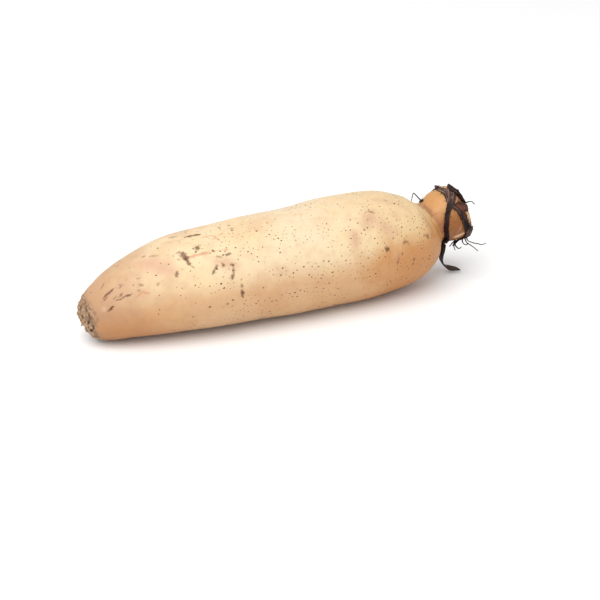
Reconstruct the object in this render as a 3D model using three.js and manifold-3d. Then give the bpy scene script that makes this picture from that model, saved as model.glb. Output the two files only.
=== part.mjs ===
// A whole lotus root segment: one swollen link of the rhizome, from the dry scar where it broke
// off its neighbour to the neck that was cut through at the next node.
// Millimetres, +Z up. The root lies along X on its belly, the scar towards -X, the neck towards +X.
// The origin is on the floor, under the middle of the whole thing.

import * as THREE from 'three';
import { mergeVertices } from 'three/addons/utils/BufferGeometryUtils.js';
import Module from 'manifold-3d';

const wasm = await Module();
wasm.setup();

// Lengths along the root are stated from the scar's rim. ORIGIN is where the frame's origin lies there.
const ORIGIN = new THREE.Vector3(132.6, -1.3, 0.4);
const RAD = Math.PI / 180;

// How thick the root is: distance along the root and radius.
const SWELLING = [
  [-3, 11], [0, 14.4], [9, 19.4], [28, 25.7], [56, 30.8], [97, 32.8], [135, 33.9], [163, 34.8],
  [185, 34.4], [203, 32.3], [217.5, 28.4], [229, 22], [233.6, 16.2], [236.4, 14.4],
  [240.5, 15.8], [246.5, 18], [253, 19], [256, 18],
];

// Where its middle line runs: distance along the root, sideways and up.
const MIDDLE_LINE = [
  [-13, 6, 7.6], [-3, 5, 12.4], [9, 3.4, 18.2], [28, 1.2, 25.5], [56, -1, 31], [97, -2.4, 33.2],
  [135, -2.6, 34], [163, -1.8, 34.8], [187, -0.6, 34.5], [208, 0.8, 33], [224, 2.2, 33.8],
  [238, 3.2, 39], [250, 4, 43.4], [262, 4.6, 47], [275, 5, 49.8],
];

const SCAR_END = -3;
const CREASE = 236;
const NECK_END = 256;
const NECK_FLAT = { x: 251.5, angle: 1.85, depth: 0.11 };

const SIDES = 48;
const RING_STEPS = [
  { until: 24, step: 3.6 },
  { until: 222, step: 6 },
  { until: NECK_END, step: 2.3 },
];

// The scar is a shallow, torn dome: share of its rim's radius, and how far it stands out.
const SCAR_RINGS = [[0.86, 1.1], [0.66, 1.3], [0.42, 2.2], [0.2, 1.6]];
const SCAR_MIDDLE = 1.9;

// Air channels, seen where the neck was cut: how far out, at what angle, wide, high, all blind.
const CHANNEL_DEPTH = 5;
const CHANNEL_RING = { count: 7, out: 10.6, turn: 14, wide: 4.4, high: 3 };
const MIDDLE_CHANNELS = [{ out: 2.6, at: 75, wide: 2.2 }, { out: 3, at: -110, wide: 2 }];

// The dried leaf sheath clings to the neck in straps, a small gap off the skin.
const SHEATH_GAP = 0.45;
const SHEATH_THICK = 0.9;
const STRAP_EDGE = 0.7;
const THINNEST = 0.7;
const SLIVER = 0.03;
const ROOTLET_SIDES = 5;
const ROOTLET_ROOT = 0.6;
const RIM_CLEARANCE = 0.2;
const TOWARDS_VIEWER = new THREE.Vector3(0.25, -0.35, 0.9);

// Each strap runs through knots of distance along the root, degrees round it and half its width.
// 0 degrees faces the viewer's side and 90 is up.
const STRAPS = {
  band: {
    steps: 24,
    knots: [
      [254.6, 92, 3.4], [254.3, 72, 3.2], [251, 58, 3], [247.4, 48, 2.6], [244.4, 37, 1.9],
      [241.6, 24, 1.7], [239.4, 4, 1.6], [238.8, -18, 1.6], [238.9, -34, 1.5], [239.4, -46, 1.4],
    ],
  },
  flap: {
    steps: 9,
    knots: [[249.2, 122, 0.9], [249.7, 102, 1.2], [250.3, 83, 1.2], [248.9, 67, 1.3], [247.4, 54, 1.2]],
  },
  slantingBand: {
    steps: 11,
    knots: [
      [249.4, 46, 2], [250.4, 38, 1.8], [250.7, 24, 1.8], [251.2, 7, 1.7], [252.2, -12, 1.8],
      [252.9, -28, 2.2],
    ],
  },
  crumpledPatch: {
    steps: 5,
    thick: 1.5,
    knots: [[250.4, 48, 2], [252.4, 40, 2.6], [253.9, 30, 2.6], [254.2, 19, 1.6]],
  },
  upperRim: {
    steps: 7,
    thick: 2.3,
    knots: [[254.8, 78, 1.2], [254.9, 64, 1.2], [255, 46, 1.1], [254.9, 30, 0.9]],
  },
  knot: {
    steps: 5,
    thick: 1.1,
    knots: [[253, -14, 1.4], [252.8, -24, 2.4], [252.5, -34, 2.2], [252, -44, 1.3]],
  },
  underStrap: {
    steps: 6,
    knots: [[252.4, -40, 1.5], [250, -51, 1.2], [247.4, -57, 1.1], [244.6, -63, 0.9]],
  },
  underRim: {
    steps: 10,
    knots: [
      [252.4, -44, 1.5], [252, -68, 1.3], [250.8, -92, 1.5], [250.4, -112, 1.2], [251.4, -136, 1.4],
      [252.6, -158, 1.3],
    ],
  },
  farCollar: {
    steps: 18,
    knots: [
      [252.6, -154, 1.6], [252, -174, 3], [250.6, -196, 3.6], [251.4, -216, 4], [252.2, -236, 3.6],
      [253.2, -254, 3.8], [254.2, -276, 3.4],
    ],
  },
  farStrap: {
    steps: 10,
    knots: [
      [251, 172, 2.2], [248, 166, 1.7], [244.4, 156, 1.5], [241.6, 144, 1.3], [239.8, 132, 1.1],
      [238.9, 120, 1], [238.7, 110, 0.9],
    ],
  },
};

// One strand hangs from the band and ends in a little blade just above the floor. A strand starts
// in the sheath at [distance along, degrees round] and runs through [along, sideways, up, half width].
const HANGING_STRAND = {
  from: [239, -38],
  thick: 0.9,
  sides: 8,
  flat: 0.45,
  knots: [
    [239.7, -10.3, 29.6, 1.3], [240.2, -8.6, 26.2, 1.3], [240.9, -5.8, 21.2, 1.2],
    [242.5, -2.3, 16, 1.15], [246.2, 2.6, 9.4, 1.05], [250.1, 4.4, 4.8, 1.3], [253.4, 3.8, 2.9, 2],
    [257, 2.5, 2.1, 1.7], [259.8, 0.2, 1.8, 0.5],
  ],
};

// The dried rootlets: a bent hair in the crease, one at the upper rim, a spur at the knot, a tuft
// under the neck and a few on its far side.
const ROOTLETS = [
  {
    from: [238.8, 116],
    knots: [
      [227.5, 5.5, 57.8, 0.5], [224.2, 5.5, 61.5, 0.42], [223.2, 5.5, 58.9, 0.4],
      [222.6, 5.5, 56.2, 0.36],
    ],
  },
  { from: [255, 36], knots: [[257.9, -11.6, 56, 0.4], [260.7, -11.6, 53.8, 0.45]] },
  { from: [253.4, -30], knots: [[258, -13.2, 35.8, 0.42], [260, -12.5, 36.6, 0.36]] },
  {
    from: [247.6, -56],
    knots: [
      [250.3, -6.5, 25.6, 0.6], [251.2, -6.5, 23.3, 0.55], [253.4, -6.5, 21.4, 0.45],
      [255.2, -6.5, 22.2, 0.4],
    ],
  },
  { from: [246, -59], knots: [[248.7, -6, 24, 0.55]] },
  { from: [244.8, -62], knots: [[246.7, -5, 23.3, 0.4]] },
  { from: [249.6, -52], knots: [[256, -7, 25.1, 0.45], [258.4, -7, 23.4, 0.42], [260.3, -7, 24.5, 0.36]] },
  {
    from: [251.8, -45],
    knots: [
      [259.2, -8, 26.8, 0.42], [262.8, -8, 24.7, 0.4], [267.9, -8, 22.7, 0.4], [270.3, -8, 21.9, 0.38],
      [273.4, -8, 22.5, 0.36],
    ],
  },
  {
    from: [251, -50],
    knots: [[258.8, -7.5, 25.1, 0.45], [262.8, -7.5, 22, 0.42], [267.7, -7.5, 17.5, 0.36]],
  },
  { from: [251, -92], knots: [[252.6, -1, 21.6, 0.45], [253.6, -1.6, 18.4, 0.4]] },
  { from: [250.6, -110], knots: [[253, 12, 22.4, 0.45], [256.4, 13.6, 21.6, 0.4]] },
  { from: [252, -146], knots: [[256, 21, 31, 0.45], [259, 23, 30.2, 0.4]] },
  {
    from: [251.4, -186],
    knots: [[252, 25.6, 42.4, 0.45], [252.6, 28.4, 39, 0.4], [251.8, 30, 38.4, 0.36]],
  },
];

function curveThrough(knots) {
  const points = knots.map(([x, y, z = 0]) => new THREE.Vector3(x, y, z));
  return new THREE.CatmullRomCurve3(points, false, 'catmullrom', 0.5);
}

const swelling = curveThrough(SWELLING);
const middleLine = curveThrough(MIDDLE_LINE);

// Both curves only ever run towards +X, so halving finds their point at a distance along the root.
function pointAt(curve, x) {
  let low = 0;
  let high = 1;
  for (let i = 0; i < 32; i += 1) {
    const middle = (low + high) / 2;
    if (curve.getPoint(middle).x < x) {
      low = middle;
    } else {
      high = middle;
    }
  }
  return curve.getPoint((low + high) / 2);
}

// A cross-section's own axes: near points at the viewer's side (-Y), rise points upwards.
function sectionAt(x) {
  const centre = pointAt(middleLine, x);
  const along = pointAt(middleLine, x + 0.5).sub(pointAt(middleLine, x - 0.5)).normalize();
  const near = new THREE.Vector3().crossVectors(along, new THREE.Vector3(0, 0, 1)).normalize();
  const rise = new THREE.Vector3().crossVectors(near, along);
  return { centre, along, near, rise };
}

function bell(x, middle, width) {
  return Math.exp(-(((x - middle) / width) ** 2));
}

// The skin isn't truly round: it is a little oval, dented, puckered at the scar and the crease, and
// flattened on top of the neck. Each part is a share of the radius.
function unevenness(x, angle) {
  const oval = 0.018 * Math.cos(2 * angle - 0.6 + x / 90);
  const threeSided = 0.01 * Math.cos(3 * angle + 1.1 + x / 60);
  const dents = 0.012 * Math.sin(x / 13 + 2 * angle) * Math.sin(x / 21 - angle + 0.8);
  const scarPucker = 0.03 * bell(x, SCAR_END, 8) * Math.cos(6 * angle + 1);
  const creasePucker = 0.022 * bell(x, CREASE, 3.5) * Math.cos(9 * angle + x / 4);
  const fromNeckTop = Math.sin((angle - NECK_FLAT.angle) / 2);
  const neckFlat = NECK_FLAT.depth * bell(x, NECK_FLAT.x, 8) * bell(fromNeckTop, 0, 0.3);
  return 1 + oval + threeSided + dents + scarPucker + creasePucker - neckFlat;
}

function fromSection({ centre, near, rise }, radius, angle) {
  return centre.clone()
    .addScaledVector(near, radius * Math.cos(angle))
    .addScaledVector(rise, radius * Math.sin(angle));
}

function skinPoint(x, angle) {
  const radius = pointAt(swelling, x).y * unevenness(x, angle);
  return fromSection(sectionAt(x), radius, angle);
}

function skinNormal(x, angle) {
  const alongSkin = skinPoint(x + 0.4, angle).sub(skinPoint(x - 0.4, angle));
  const aroundSkin = skinPoint(x, angle + 0.02).sub(skinPoint(x, angle - 0.02));
  return alongSkin.cross(aroundSkin).normalize();
}

// Stacks rings of points into one closed skin, with a point to close each end.
function closedLoft(rings, firstTip, lastTip) {
  const sides = rings[0].length;
  const points = [...rings.flat(), firstTip, lastTip];
  const first = points.length - 2;
  const last = points.length - 1;
  const faces = [];
  for (let side = 0; side < sides; side += 1) {
    const next = (side + 1) % sides;
    for (let row = 0; row + 1 < rings.length; row += 1) {
      const a = row * sides + side;
      const b = row * sides + next;
      faces.push(a, b, b + sides, a, b + sides, a + sides);
    }
    const top = (rings.length - 1) * sides;
    faces.push(first, next, side, last, top + side, top + next);
  }
  const geometry = new THREE.BufferGeometry();
  const positions = points.flatMap((p) => p.toArray());
  geometry.setAttribute('position', new THREE.Float32BufferAttribute(positions, 3));
  geometry.setIndex(facingOut(faces, points));
  return geometry;
}

// A loft's rings may turn either way round its route, so its volume tells if the faces point out.
function facingOut(faces, points) {
  let volume = 0;
  for (let i = 0; i < faces.length; i += 3) {
    const [a, b, c] = faces.slice(i, i + 3).map((corner) => points[corner]);
    volume += a.dot(new THREE.Vector3().crossVectors(b, c));
  }
  return volume > 0 ? faces : faces.reverse();
}

function toSolid(geometry) {
  const bare = geometry.clone();
  bare.deleteAttribute('normal');
  bare.deleteAttribute('uv');
  const merged = mergeVertices(bare, 1e-5);
  return new wasm.Manifold(new wasm.Mesh({
    numProp: 3,
    vertProperties: new Float32Array(merged.attributes.position.array),
    triVerts: new Uint32Array(merged.index.array),
  }));
}

function toGeometry(solid) {
  const { vertProperties, triVerts } = solid.getMesh();
  const geometry = new THREE.BufferGeometry();
  geometry.setAttribute('position', new THREE.BufferAttribute(vertProperties, 3));
  geometry.setIndex(new THREE.BufferAttribute(triVerts, 1));
  return geometry;
}

function ringPlaces() {
  const fine = swelling.getSpacedPoints(3000);
  const places = [fine[0].x];
  let walked = 0;
  for (let i = 1; i < fine.length; i += 1) {
    walked += fine[i].distanceTo(fine[i - 1]);
    const { step } = RING_STEPS.find(({ until }) => fine[i].x <= until + 0.01);
    if (walked >= step) {
      places.push(fine[i].x);
      walked = 0;
    }
  }
  places[places.length - 1] = NECK_END;
  return places;
}

function angles(count) {
  return Array.from({ length: count }, (_, i) => (i / count) * 2 * Math.PI);
}

function scarRing(share, out) {
  const section = sectionAt(SCAR_END);
  const rim = pointAt(swelling, SCAR_END).y;
  return angles(SIDES).map((angle) => {
    const torn = 0.45 * Math.sin(5 * angle + 9 * share) + 0.3 * Math.sin(3 * angle - 7 * share);
    const wavy = 1 + 0.06 * Math.sin(4 * angle + 5 * share);
    const radius = rim * share * unevenness(SCAR_END, angle) * wavy;
    return fromSection(section, radius, angle).addScaledVector(section.along, -out - torn);
  });
}

// Where the root rests, its own weight has left the belly flat.
function restOnFloor(point) {
  point.z = Math.max(point.z, ORIGIN.z);
  return point;
}

function rootGeometry() {
  const skin = ringPlaces().map((x) => angles(SIDES).map((angle) => restOnFloor(skinPoint(x, angle))));
  const scar = SCAR_RINGS.map(([share, out]) => scarRing(share, out)).reverse();
  const scarSection = sectionAt(SCAR_END);
  const scarTip = scarSection.centre.clone().addScaledVector(scarSection.along, -SCAR_MIDDLE);
  return closedLoft([...scar, ...skin], scarTip, sectionAt(NECK_END).centre);
}

function channel({ out, at, wide, high = wide }) {
  const { centre, along, near, rise } = sectionAt(NECK_END);
  const outwards = fromSection({ centre: new THREE.Vector3(), near, rise }, 1, at * RAD);
  const sideways = new THREE.Vector3().crossVectors(outwards, along);
  const shape = new THREE.CylinderGeometry(1, 1, 2 * CHANNEL_DEPTH, 12);
  const place = new THREE.Matrix4().makeBasis(
    outwards.clone().multiplyScalar(wide / 2), along, sideways.multiplyScalar(high / 2),
  );
  place.setPosition(centre.clone().addScaledVector(outwards, out));
  return shape.applyMatrix4(place);
}

function channels() {
  const { count, turn, ...oval } = CHANNEL_RING;
  const ring = Array.from({ length: count }, (_, i) => ({ ...oval, at: turn + (i * 360) / count }));
  return [...ring, ...MIDDLE_CHANNELS].map(channel);
}

function rootBody() {
  let solid = toSolid(rootGeometry());
  for (const hole of channels()) {
    solid = solid.subtract(toSolid(hole));
  }
  return toGeometry(solid);
}

// A strap lies on the neck, thickest along its middle, with ragged edges.
function strapGeometry({ knots, steps, thick = SHEATH_THICK }) {
  const route = curveThrough(knots.map(([x, degrees, half]) => [x, degrees * RAD, half]));
  const across = [-1, 0, 1];
  const rings = [];
  for (let i = 0; i <= steps; i += 1) {
    const share = i / steps;
    const here = route.getPoint(share);
    const tangent = route.getTangent(share);
    const radius = pointAt(swelling, here.x).y;
    const heading = new THREE.Vector2(tangent.x, tangent.y * radius).normalize();
    const ragged = 1 + 0.14 * Math.sin(7.3 * i + here.x) + 0.1 * Math.sin(3.1 * i);
    const layer = (lift, edgeLift) => across.map((side) => {
      const offset = side * here.z * ragged;
      const x = Math.min(here.x - offset * heading.y, NECK_END - RIM_CLEARANCE);
      const angle = here.y + (offset * heading.x) / radius;
      const height = Math.abs(side) === 1 ? edgeLift : lift;
      return skinPoint(x, angle).addScaledVector(skinNormal(x, angle), height);
    });
    const under = layer(SHEATH_GAP, SHEATH_GAP);
    const over = layer(SHEATH_GAP + thick, SHEATH_GAP + STRAP_EDGE * thick);
    rings.push([...under, ...over.reverse()]);
  }
  return closedLoft(rings, middleOf(rings[0]), middleOf(rings[rings.length - 1]));
}

function middleOf(ring) {
  return ring.reduce((sum, p) => sum.add(p), new THREE.Vector3()).divideScalar(ring.length);
}

// A strand or rootlet is a tube that starts inside the sheath.
function strandGeometry(strand) {
  const { from: [x, degrees], knots, thick = ROOTLET_ROOT, sides = ROOTLET_SIDES, flat = 1 } = strand;
  const start = skinPoint(x, degrees * RAD)
    .addScaledVector(skinNormal(x, degrees * RAD), SHEATH_GAP + SHEATH_THICK / 2);
  const path = [[...start.toArray(), thick], ...knots];
  const route = curveThrough(path);
  const widths = curveThrough(path.map((knot, i) => [i, knot[3]]));
  const steps = 3 * knots.length;
  const rings = [];
  for (let i = 0; i <= steps; i += 1) {
    const share = i / steps;
    const along = route.getTangent(share);
    const wide = TOWARDS_VIEWER.clone().cross(along).normalize();
    const deep = new THREE.Vector3().crossVectors(along, wide);
    const half = widths.getPoint(share).y;
    rings.push(angles(sides).map((angle) => route.getPoint(share)
      .addScaledVector(wide, half * Math.cos(angle))
      .addScaledVector(deep, Math.max(half * flat, THINNEST / 2) * Math.sin(angle))));
  }
  return closedLoft(rings, route.getPoint(0), route.getPoint(1));
}

function nodeSheath() {
  const pieces = [
    ...Object.values(STRAPS).map(strapGeometry),
    ...[HANGING_STRAND, ...ROOTLETS].map(strandGeometry),
  ].map(toSolid);
  return toGeometry(pieces.reduce((joined, piece) => joined.add(piece)).setTolerance(SLIVER));
}

const materials = {
  root_body: new THREE.MeshStandardMaterial({ color: 0xeccb98, roughness: 0.62, metalness: 0 }),
  node_sheath: new THREE.MeshStandardMaterial({ color: 0x2e2320, roughness: 0.85, metalness: 0 }),
};

function subPart(name, geometry) {
  geometry.translate(-ORIGIN.x, -ORIGIN.y, -ORIGIN.z);
  const mesh = new THREE.Mesh(geometry, materials[name]);
  mesh.name = name;
  return mesh;
}

const lotusRoot = new THREE.Group();
lotusRoot.add(subPart('root_body', rootBody()));
lotusRoot.add(subPart('node_sheath', nodeSheath()));

export default lotusRoot;
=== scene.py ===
import math

import bpy
import numpy as np
from bpy.props import (
    FloatProperty,
    FloatVectorProperty,
    IntProperty,
    PointerProperty,
)
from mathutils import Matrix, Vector
from mathutils import noise as perlin
from mathutils.geometry import delaunay_2d_cdt


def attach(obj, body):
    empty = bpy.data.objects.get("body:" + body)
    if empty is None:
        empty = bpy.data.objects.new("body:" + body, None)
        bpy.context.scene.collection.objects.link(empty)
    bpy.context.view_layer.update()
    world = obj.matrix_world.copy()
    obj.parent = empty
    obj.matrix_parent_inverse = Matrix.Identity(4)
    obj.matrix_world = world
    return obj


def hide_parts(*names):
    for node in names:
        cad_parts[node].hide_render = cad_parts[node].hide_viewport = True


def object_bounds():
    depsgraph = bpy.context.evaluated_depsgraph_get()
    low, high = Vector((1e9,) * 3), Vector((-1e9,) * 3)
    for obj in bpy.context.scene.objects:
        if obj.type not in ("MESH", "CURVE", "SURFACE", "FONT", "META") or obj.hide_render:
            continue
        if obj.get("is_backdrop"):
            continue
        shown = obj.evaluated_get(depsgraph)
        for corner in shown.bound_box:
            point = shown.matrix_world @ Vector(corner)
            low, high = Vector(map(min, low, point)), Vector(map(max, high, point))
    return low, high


bl_info = {
    "name": "Lotus root segment",
    "version": (1, 0, 0),
    "blender": (4, 5, 0),
    "location": "View3D > Sidebar > Lotus root",
    "description": "A whole lotus root segment with its dried sheath, its rootlets and a plain stage",
    "category": "Object",
}

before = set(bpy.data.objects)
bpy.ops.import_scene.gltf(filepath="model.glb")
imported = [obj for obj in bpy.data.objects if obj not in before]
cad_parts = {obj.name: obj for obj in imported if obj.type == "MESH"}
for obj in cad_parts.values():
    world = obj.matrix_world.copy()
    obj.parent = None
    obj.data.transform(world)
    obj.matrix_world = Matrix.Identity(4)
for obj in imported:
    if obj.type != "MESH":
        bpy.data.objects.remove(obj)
CAD_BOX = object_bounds()

BODY = "root"
MM = 0.001

# Lengths along the root are in millimetres from the rim of its scar, as in the frame's own source.
# This is where the frame's origin lies there, and its last number is also the floor's height.
ORIGIN = np.array([132.6, -1.3, 0.4])

# How thick the root is: distance along it and radius.
SWELLING = [
    (-3, 11), (0, 14.4), (9, 19.4), (28, 25.7), (56, 30.8), (97, 32.8), (135, 33.9), (163, 34.8),
    (185, 34.4), (203, 32.3), (217.5, 28.4), (229, 22), (233.6, 16.2), (236.4, 14.4),
    (240.5, 15.8), (246.5, 18), (253, 19), (256, 18),
]

# Where its middle line runs: distance along, sideways and up.
MIDDLE_LINE = [
    (-13, 6, 7.6), (-3, 5, 12.4), (9, 3.4, 18.2), (28, 1.2, 25.5), (56, -1, 31), (97, -2.4, 33.2),
    (135, -2.6, 34), (163, -1.8, 34.8), (187, -0.6, 34.5), (208, 0.8, 33), (224, 2.2, 33.8),
    (238, 3.2, 39), (250, 4, 43.4), (262, 4.6, 47), (275, 5, 49.8),
]

SCAR_END = -3.0
CREASE = 236.0
NECK_END = 256.0

# Where the skin swells, or sinks where the first number is below 0: by what share of its radius,
# the middle and half length of the place along the root, and its angle round the root and half
# width there, as around() takes them.
SWELLS = {
    "flat on the neck": (-0.11, 251.5, 8, 1.85, 0.3),
    "dent in the shoulder": (-0.085, 231, 6.5, -0.58, 0.22),
    "level top of the shoulder": (-0.024, 214, 10, 1.9, 0.34),
    "filled top of the crease": (0.13, 233.5, 4.5, 1.9, 0.34),
    "filled top of the neck": (0.06, 244.5, 4, 1.9, 0.34),
    "hollow over the scar": (-0.06, -2, 5, 2.2, 0.3),
    "hollow under the scar": (-0.17, -3, 6, 4, 0.33),
}

# The torn scar: share of its rim's radius and how far it stands out there.
SCAR_DOME = [(1, 0), (0.86, 0.5), (0.66, 0.8), (0.42, 1.7), (0.2, 1.4), (0, 1.7)]
CAP_RINGS = 26

# Air channels in the cut neck: how far out, at what angle, wide and high.
CHANNELS = [(10.6, 14 + i * 360 / 7, 4.4, 3.0) for i in range(7)]
CHANNELS += [(2.6, 75, 2.2, 2.2), (3, -110, 2, 2)]
MOUTH_SIDES = 28
CUT_SPACING = 0.85

# The rings of a channel's wall: the share of its depth, and how narrow it is there.
CHANNEL_RINGS = [
    (0.04, 0.97), (0.12, 0.95), (0.3, 0.95), (0.55, 0.95), (0.8, 0.95), (0.95, 0.9), (1.0, 0.6),
]

# The skin is mapped as a flat strip: metres along the root, and the angle times this radius. The
# cut face and its channels' walls are mapped beside it, from these places on.
STRIP_RADIUS = 0.033
STRIP_SEAM = -90.0
CUT_MAP = 0.4
WALL_MAP = 0.5
TIP_MAP = 0.55
SHARP_ANGLE = math.radians(60)

# The fine steps of the skin's rings: up to this distance along, this step, in millimetres.
RING_STEPS = [(12, 0.38), (30, 0.7), (214, 0.98), (NECK_END, 0.52)]


# Colours and properties

def srgb(red, green, blue):
    """A colour of 0 to 255 values as the linear values that a shader takes."""
    shares = np.array([red, green, blue]) / 255
    linear = np.where(shares <= 0.04045, shares / 12.92, ((shares + 0.055) / 1.055) ** 2.4)
    return tuple(float(v) for v in linear)


def colour_property(name, description, default):
    return FloatVectorProperty(
        name=name, description=description, default=srgb(*default), subtype="COLOR",
        size=3, min=0.0, max=1.0,
    )


def length_property(name, description, default, **limits):
    return FloatProperty(
        name=name, description=description, default=default, unit="LENGTH", subtype="DISTANCE",
        precision=5, **limits,
    )


def share_property(name, description, default):
    return FloatProperty(
        name=name, description=description, default=default, subtype="FACTOR", min=0.0, max=1.0,
    )


# Node trees

LINK = bpy.types.NodeSocket
NUMBER_SOCKETS = {float: "NodeSocketFloat", int: "NodeSocketInt"}


def node(kind, inputs=None, tree=None, **settings):
    """Adds a node to the tree that its links come from, or to the given tree. Its settings go by
    name, and its inputs by name or number, each a value or a link."""
    inputs = inputs or {}
    if tree is None:
        tree = next(value for value in inputs.values() if isinstance(value, LINK)).id_data
    made = tree.nodes.new(kind)
    for setting, value in settings.items():
        setattr(made, setting, value)
    for socket, value in inputs.items():
        if isinstance(value, LINK):
            tree.links.new(value, made.inputs[socket])
        else:
            made.inputs[socket].default_value = value
    return made


def maths(operation):
    """The function that adds this kind of maths node and gives its result."""
    def added(*values):
        return node("ShaderNodeMath", dict(enumerate(values)), operation=operation).outputs[0]

    return added


plus, minus, times, times_plus = map(maths, ("ADD", "SUBTRACT", "MULTIPLY", "MULTIPLY_ADD"))
divided, power, absolute = map(maths, ("DIVIDE", "POWER", "ABSOLUTE"))
larger, smaller, is_below = map(maths, ("MAXIMUM", "MINIMUM", "LESS_THAN"))


def held(value):
    """The value kept between 0 and 1."""
    return smaller(larger(value, 0.0), 1.0)


def vector_maths(operation, *values, output="Vector"):
    made = node("ShaderNodeVectorMath", dict(enumerate(values)), operation=operation)
    return made.outputs[output]


def stretched(vector, factor):
    inputs = {0: vector, "Scale": factor}
    return node("ShaderNodeVectorMath", inputs, operation="SCALE").outputs["Vector"]


def split(vector):
    return node("ShaderNodeSeparateXYZ", {"Vector": vector}).outputs


def joined(x, y, z):
    return node("ShaderNodeCombineXYZ", {"X": x, "Y": y, "Z": z}).outputs[0]


def noise(place, output=0, **inputs):
    return node("ShaderNodeTexNoise", {"Vector": place, "Scale": 1.0, **inputs}).outputs[output]


def fade(value, start, end, low=0.0, high=1.0):
    """Low before start and high after end, with a smooth change between."""
    inputs = {"Value": value, "From Min": start, "From Max": end, "To Min": low, "To Max": high}
    made = node("ShaderNodeMapRange", inputs, interpolation_type="SMOOTHSTEP", clamp=False)
    return made.outputs[0]


def blended(share, first, second, blend="MIX"):
    """Two colours in one, each a link or a plain red, green and blue."""
    first, second = (c if isinstance(c, LINK) else (*c, 1.0) for c in (first, second))
    inputs = {0: share, 6: first, 7: second}
    return node("ShaderNodeMix", inputs, data_type="RGBA", blend_type=blend).outputs[2]


def coated(colour, coat, mask, most=1.0):
    """The colour with a coat over it, as strong as the mask and the most that it may be."""
    return blended(mask if most == 1.0 else times(mask, most), colour, coat)


def new_group(name, kind, result, maker, inputs):
    """A node group whose maker draws one result from the inputs. Each input is named, and has a
    number to start from or else a kind of socket."""
    tree = bpy.data.node_groups.new(name, kind)
    for label, first in inputs.items():
        number = NUMBER_SOCKETS.get(type(first))
        socket = tree.interface.new_socket(name=label, in_out="INPUT", socket_type=number or first)
        if number:
            socket.default_value = first
    tree.interface.new_socket(name=result[0], in_out="OUTPUT", socket_type=result[1])
    given = tree.nodes.new("NodeGroupInput").outputs
    end = tree.nodes.new("NodeGroupOutput")
    tree.links.new(maker(given), end.inputs[result[0]])
    return tree


# Effects that several finishes share

def mottle(given):
    """Soft patches: 1 inside them and 0 between."""
    place = stretched(given["Vector"], divided(1.0, given["Size"]))
    pattern = noise(place, Detail=given["Detail"], Roughness=0.55)
    low = minus(given["Middle"], given["Softness"])
    return fade(pattern, low, plus(given["Middle"], given["Softness"]))


def scuff_stroke(given):
    """A scuff, scratch or stain along a straight line, joined to the marks drawn so far."""
    line = vector_maths("SUBTRACT", given["End"], given["Start"])
    offset = vector_maths("SUBTRACT", given["Place"], given["Start"])
    reach = vector_maths("DOT_PRODUCT", offset, line, output="Value")
    square = vector_maths("DOT_PRODUCT", line, line, output="Value")
    share = held(divided(reach, larger(square, 1e-9)))
    away = vector_maths("DISTANCE", offset, stretched(line, share), output="Value")
    taper = minus(1.0, times(absolute(minus(share, 0.5)), 0.9))
    width = times(given["Half Width"], taper)
    outer = plus(width, given["Edge"])
    mask = fade(away, outer, minus(width, given["Edge"]))
    return larger(times(mask, given["Strength"]), given["Drawn So Far"])


def pinpricks(given):
    """Small dots strewn over a surface: their spacing, their radius, and the share that shows."""
    finer = divided(1.0, given["Spacing"])
    place = stretched(given["Vector"], finer)
    cells = node("ShaderNodeTexVoronoi", {"Vector": place, "Scale": 1.0}).outputs
    radius = times(given["Radius"], finer)
    dot = fade(cells["Distance"], radius, times(radius, 0.4))
    chance = node("ShaderNodeSeparateColor", {"Color": cells["Color"]}).outputs[0]
    return times(dot, is_below(chance, given["Share"]))


def dry_fibres(given):
    """Long dried fibres that run along a strip's first direction."""
    parts = split(given["Strip"])
    along = divided(parts["X"], given["Length"])
    place = joined(along, divided(parts["Y"], given["Width"]), parts["Z"])
    return fade(noise(place, Detail=3.0, Roughness=0.6, Distortion=0.3), 0.38, 0.66)


VECTOR = "NodeSocketVector"
EFFECTS = {
    "Mottle": (mottle, {
        "Vector": VECTOR, "Size": 0.02, "Detail": 3.0, "Middle": 0.5, "Softness": 0.15}),
    "Scuff stroke": (scuff_stroke, {
        "Place": VECTOR, "Start": VECTOR, "End": VECTOR, "Half Width": 0.0006, "Edge": 0.0004,
        "Strength": 1.0, "Drawn So Far": 0.0}),
    "Pinpricks": (pinpricks, {"Vector": VECTOR, "Spacing": 0.003, "Radius": 0.0004, "Share": 0.5}),
    "Dry fibres": (dry_fibres, {"Strip": VECTOR, "Width": 0.0005, "Length": 0.01}),
}


def effect(name, **inputs):
    """The mask of a shared effect. Its group is made when it is first used."""
    group = bpy.data.node_groups.get(name)
    if group is None:
        group = new_group(name, "ShaderNodeTree", ("Mask", "NodeSocketFloat"), *EFFECTS[name])
    inputs = {label.replace("_", " "): value for label, value in inputs.items()}
    return node("ShaderNodeGroup", inputs, node_tree=group).outputs[0]


# Finishes

# How deep the relief of each finish is, in metres.
SKIN_RELIEF, FLESH_RELIEF, PORE_RELIEF = 0.0003, 0.00015, 0.00008
SHEATH_RELIEF, FLOOR_RELIEF = 0.0005, 0.00002


def new_material(name):
    material = bpy.data.materials.new(name)
    material.use_nodes = True
    tree = material.node_tree
    tree.nodes.clear()
    shader = tree.nodes.new("ShaderNodeBsdfPrincipled")
    node("ShaderNodeOutputMaterial", {"Surface": shader.outputs["BSDF"]})
    return material, tree


def finished(material, colour, roughness, height, relief, **values):
    """The material, once its shader has its colour, roughness, relief and other values."""
    tree = material.node_tree
    shader = next(made for made in tree.nodes if made.type == "BSDF_PRINCIPLED")
    bump = node("ShaderNodeBump", {"Height": height, "Distance": relief}).outputs["Normal"]
    for socket, link in {"Base Color": colour, "Roughness": roughness, "Normal": bump}.items():
        tree.links.new(link, shader.inputs[socket])
    for socket, value in values.items():
        shader.inputs[socket.replace("_", " ")].default_value = value
    return material


def object_place(tree):
    return node("ShaderNodeTexCoord", tree=tree).outputs["Object"]


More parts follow.
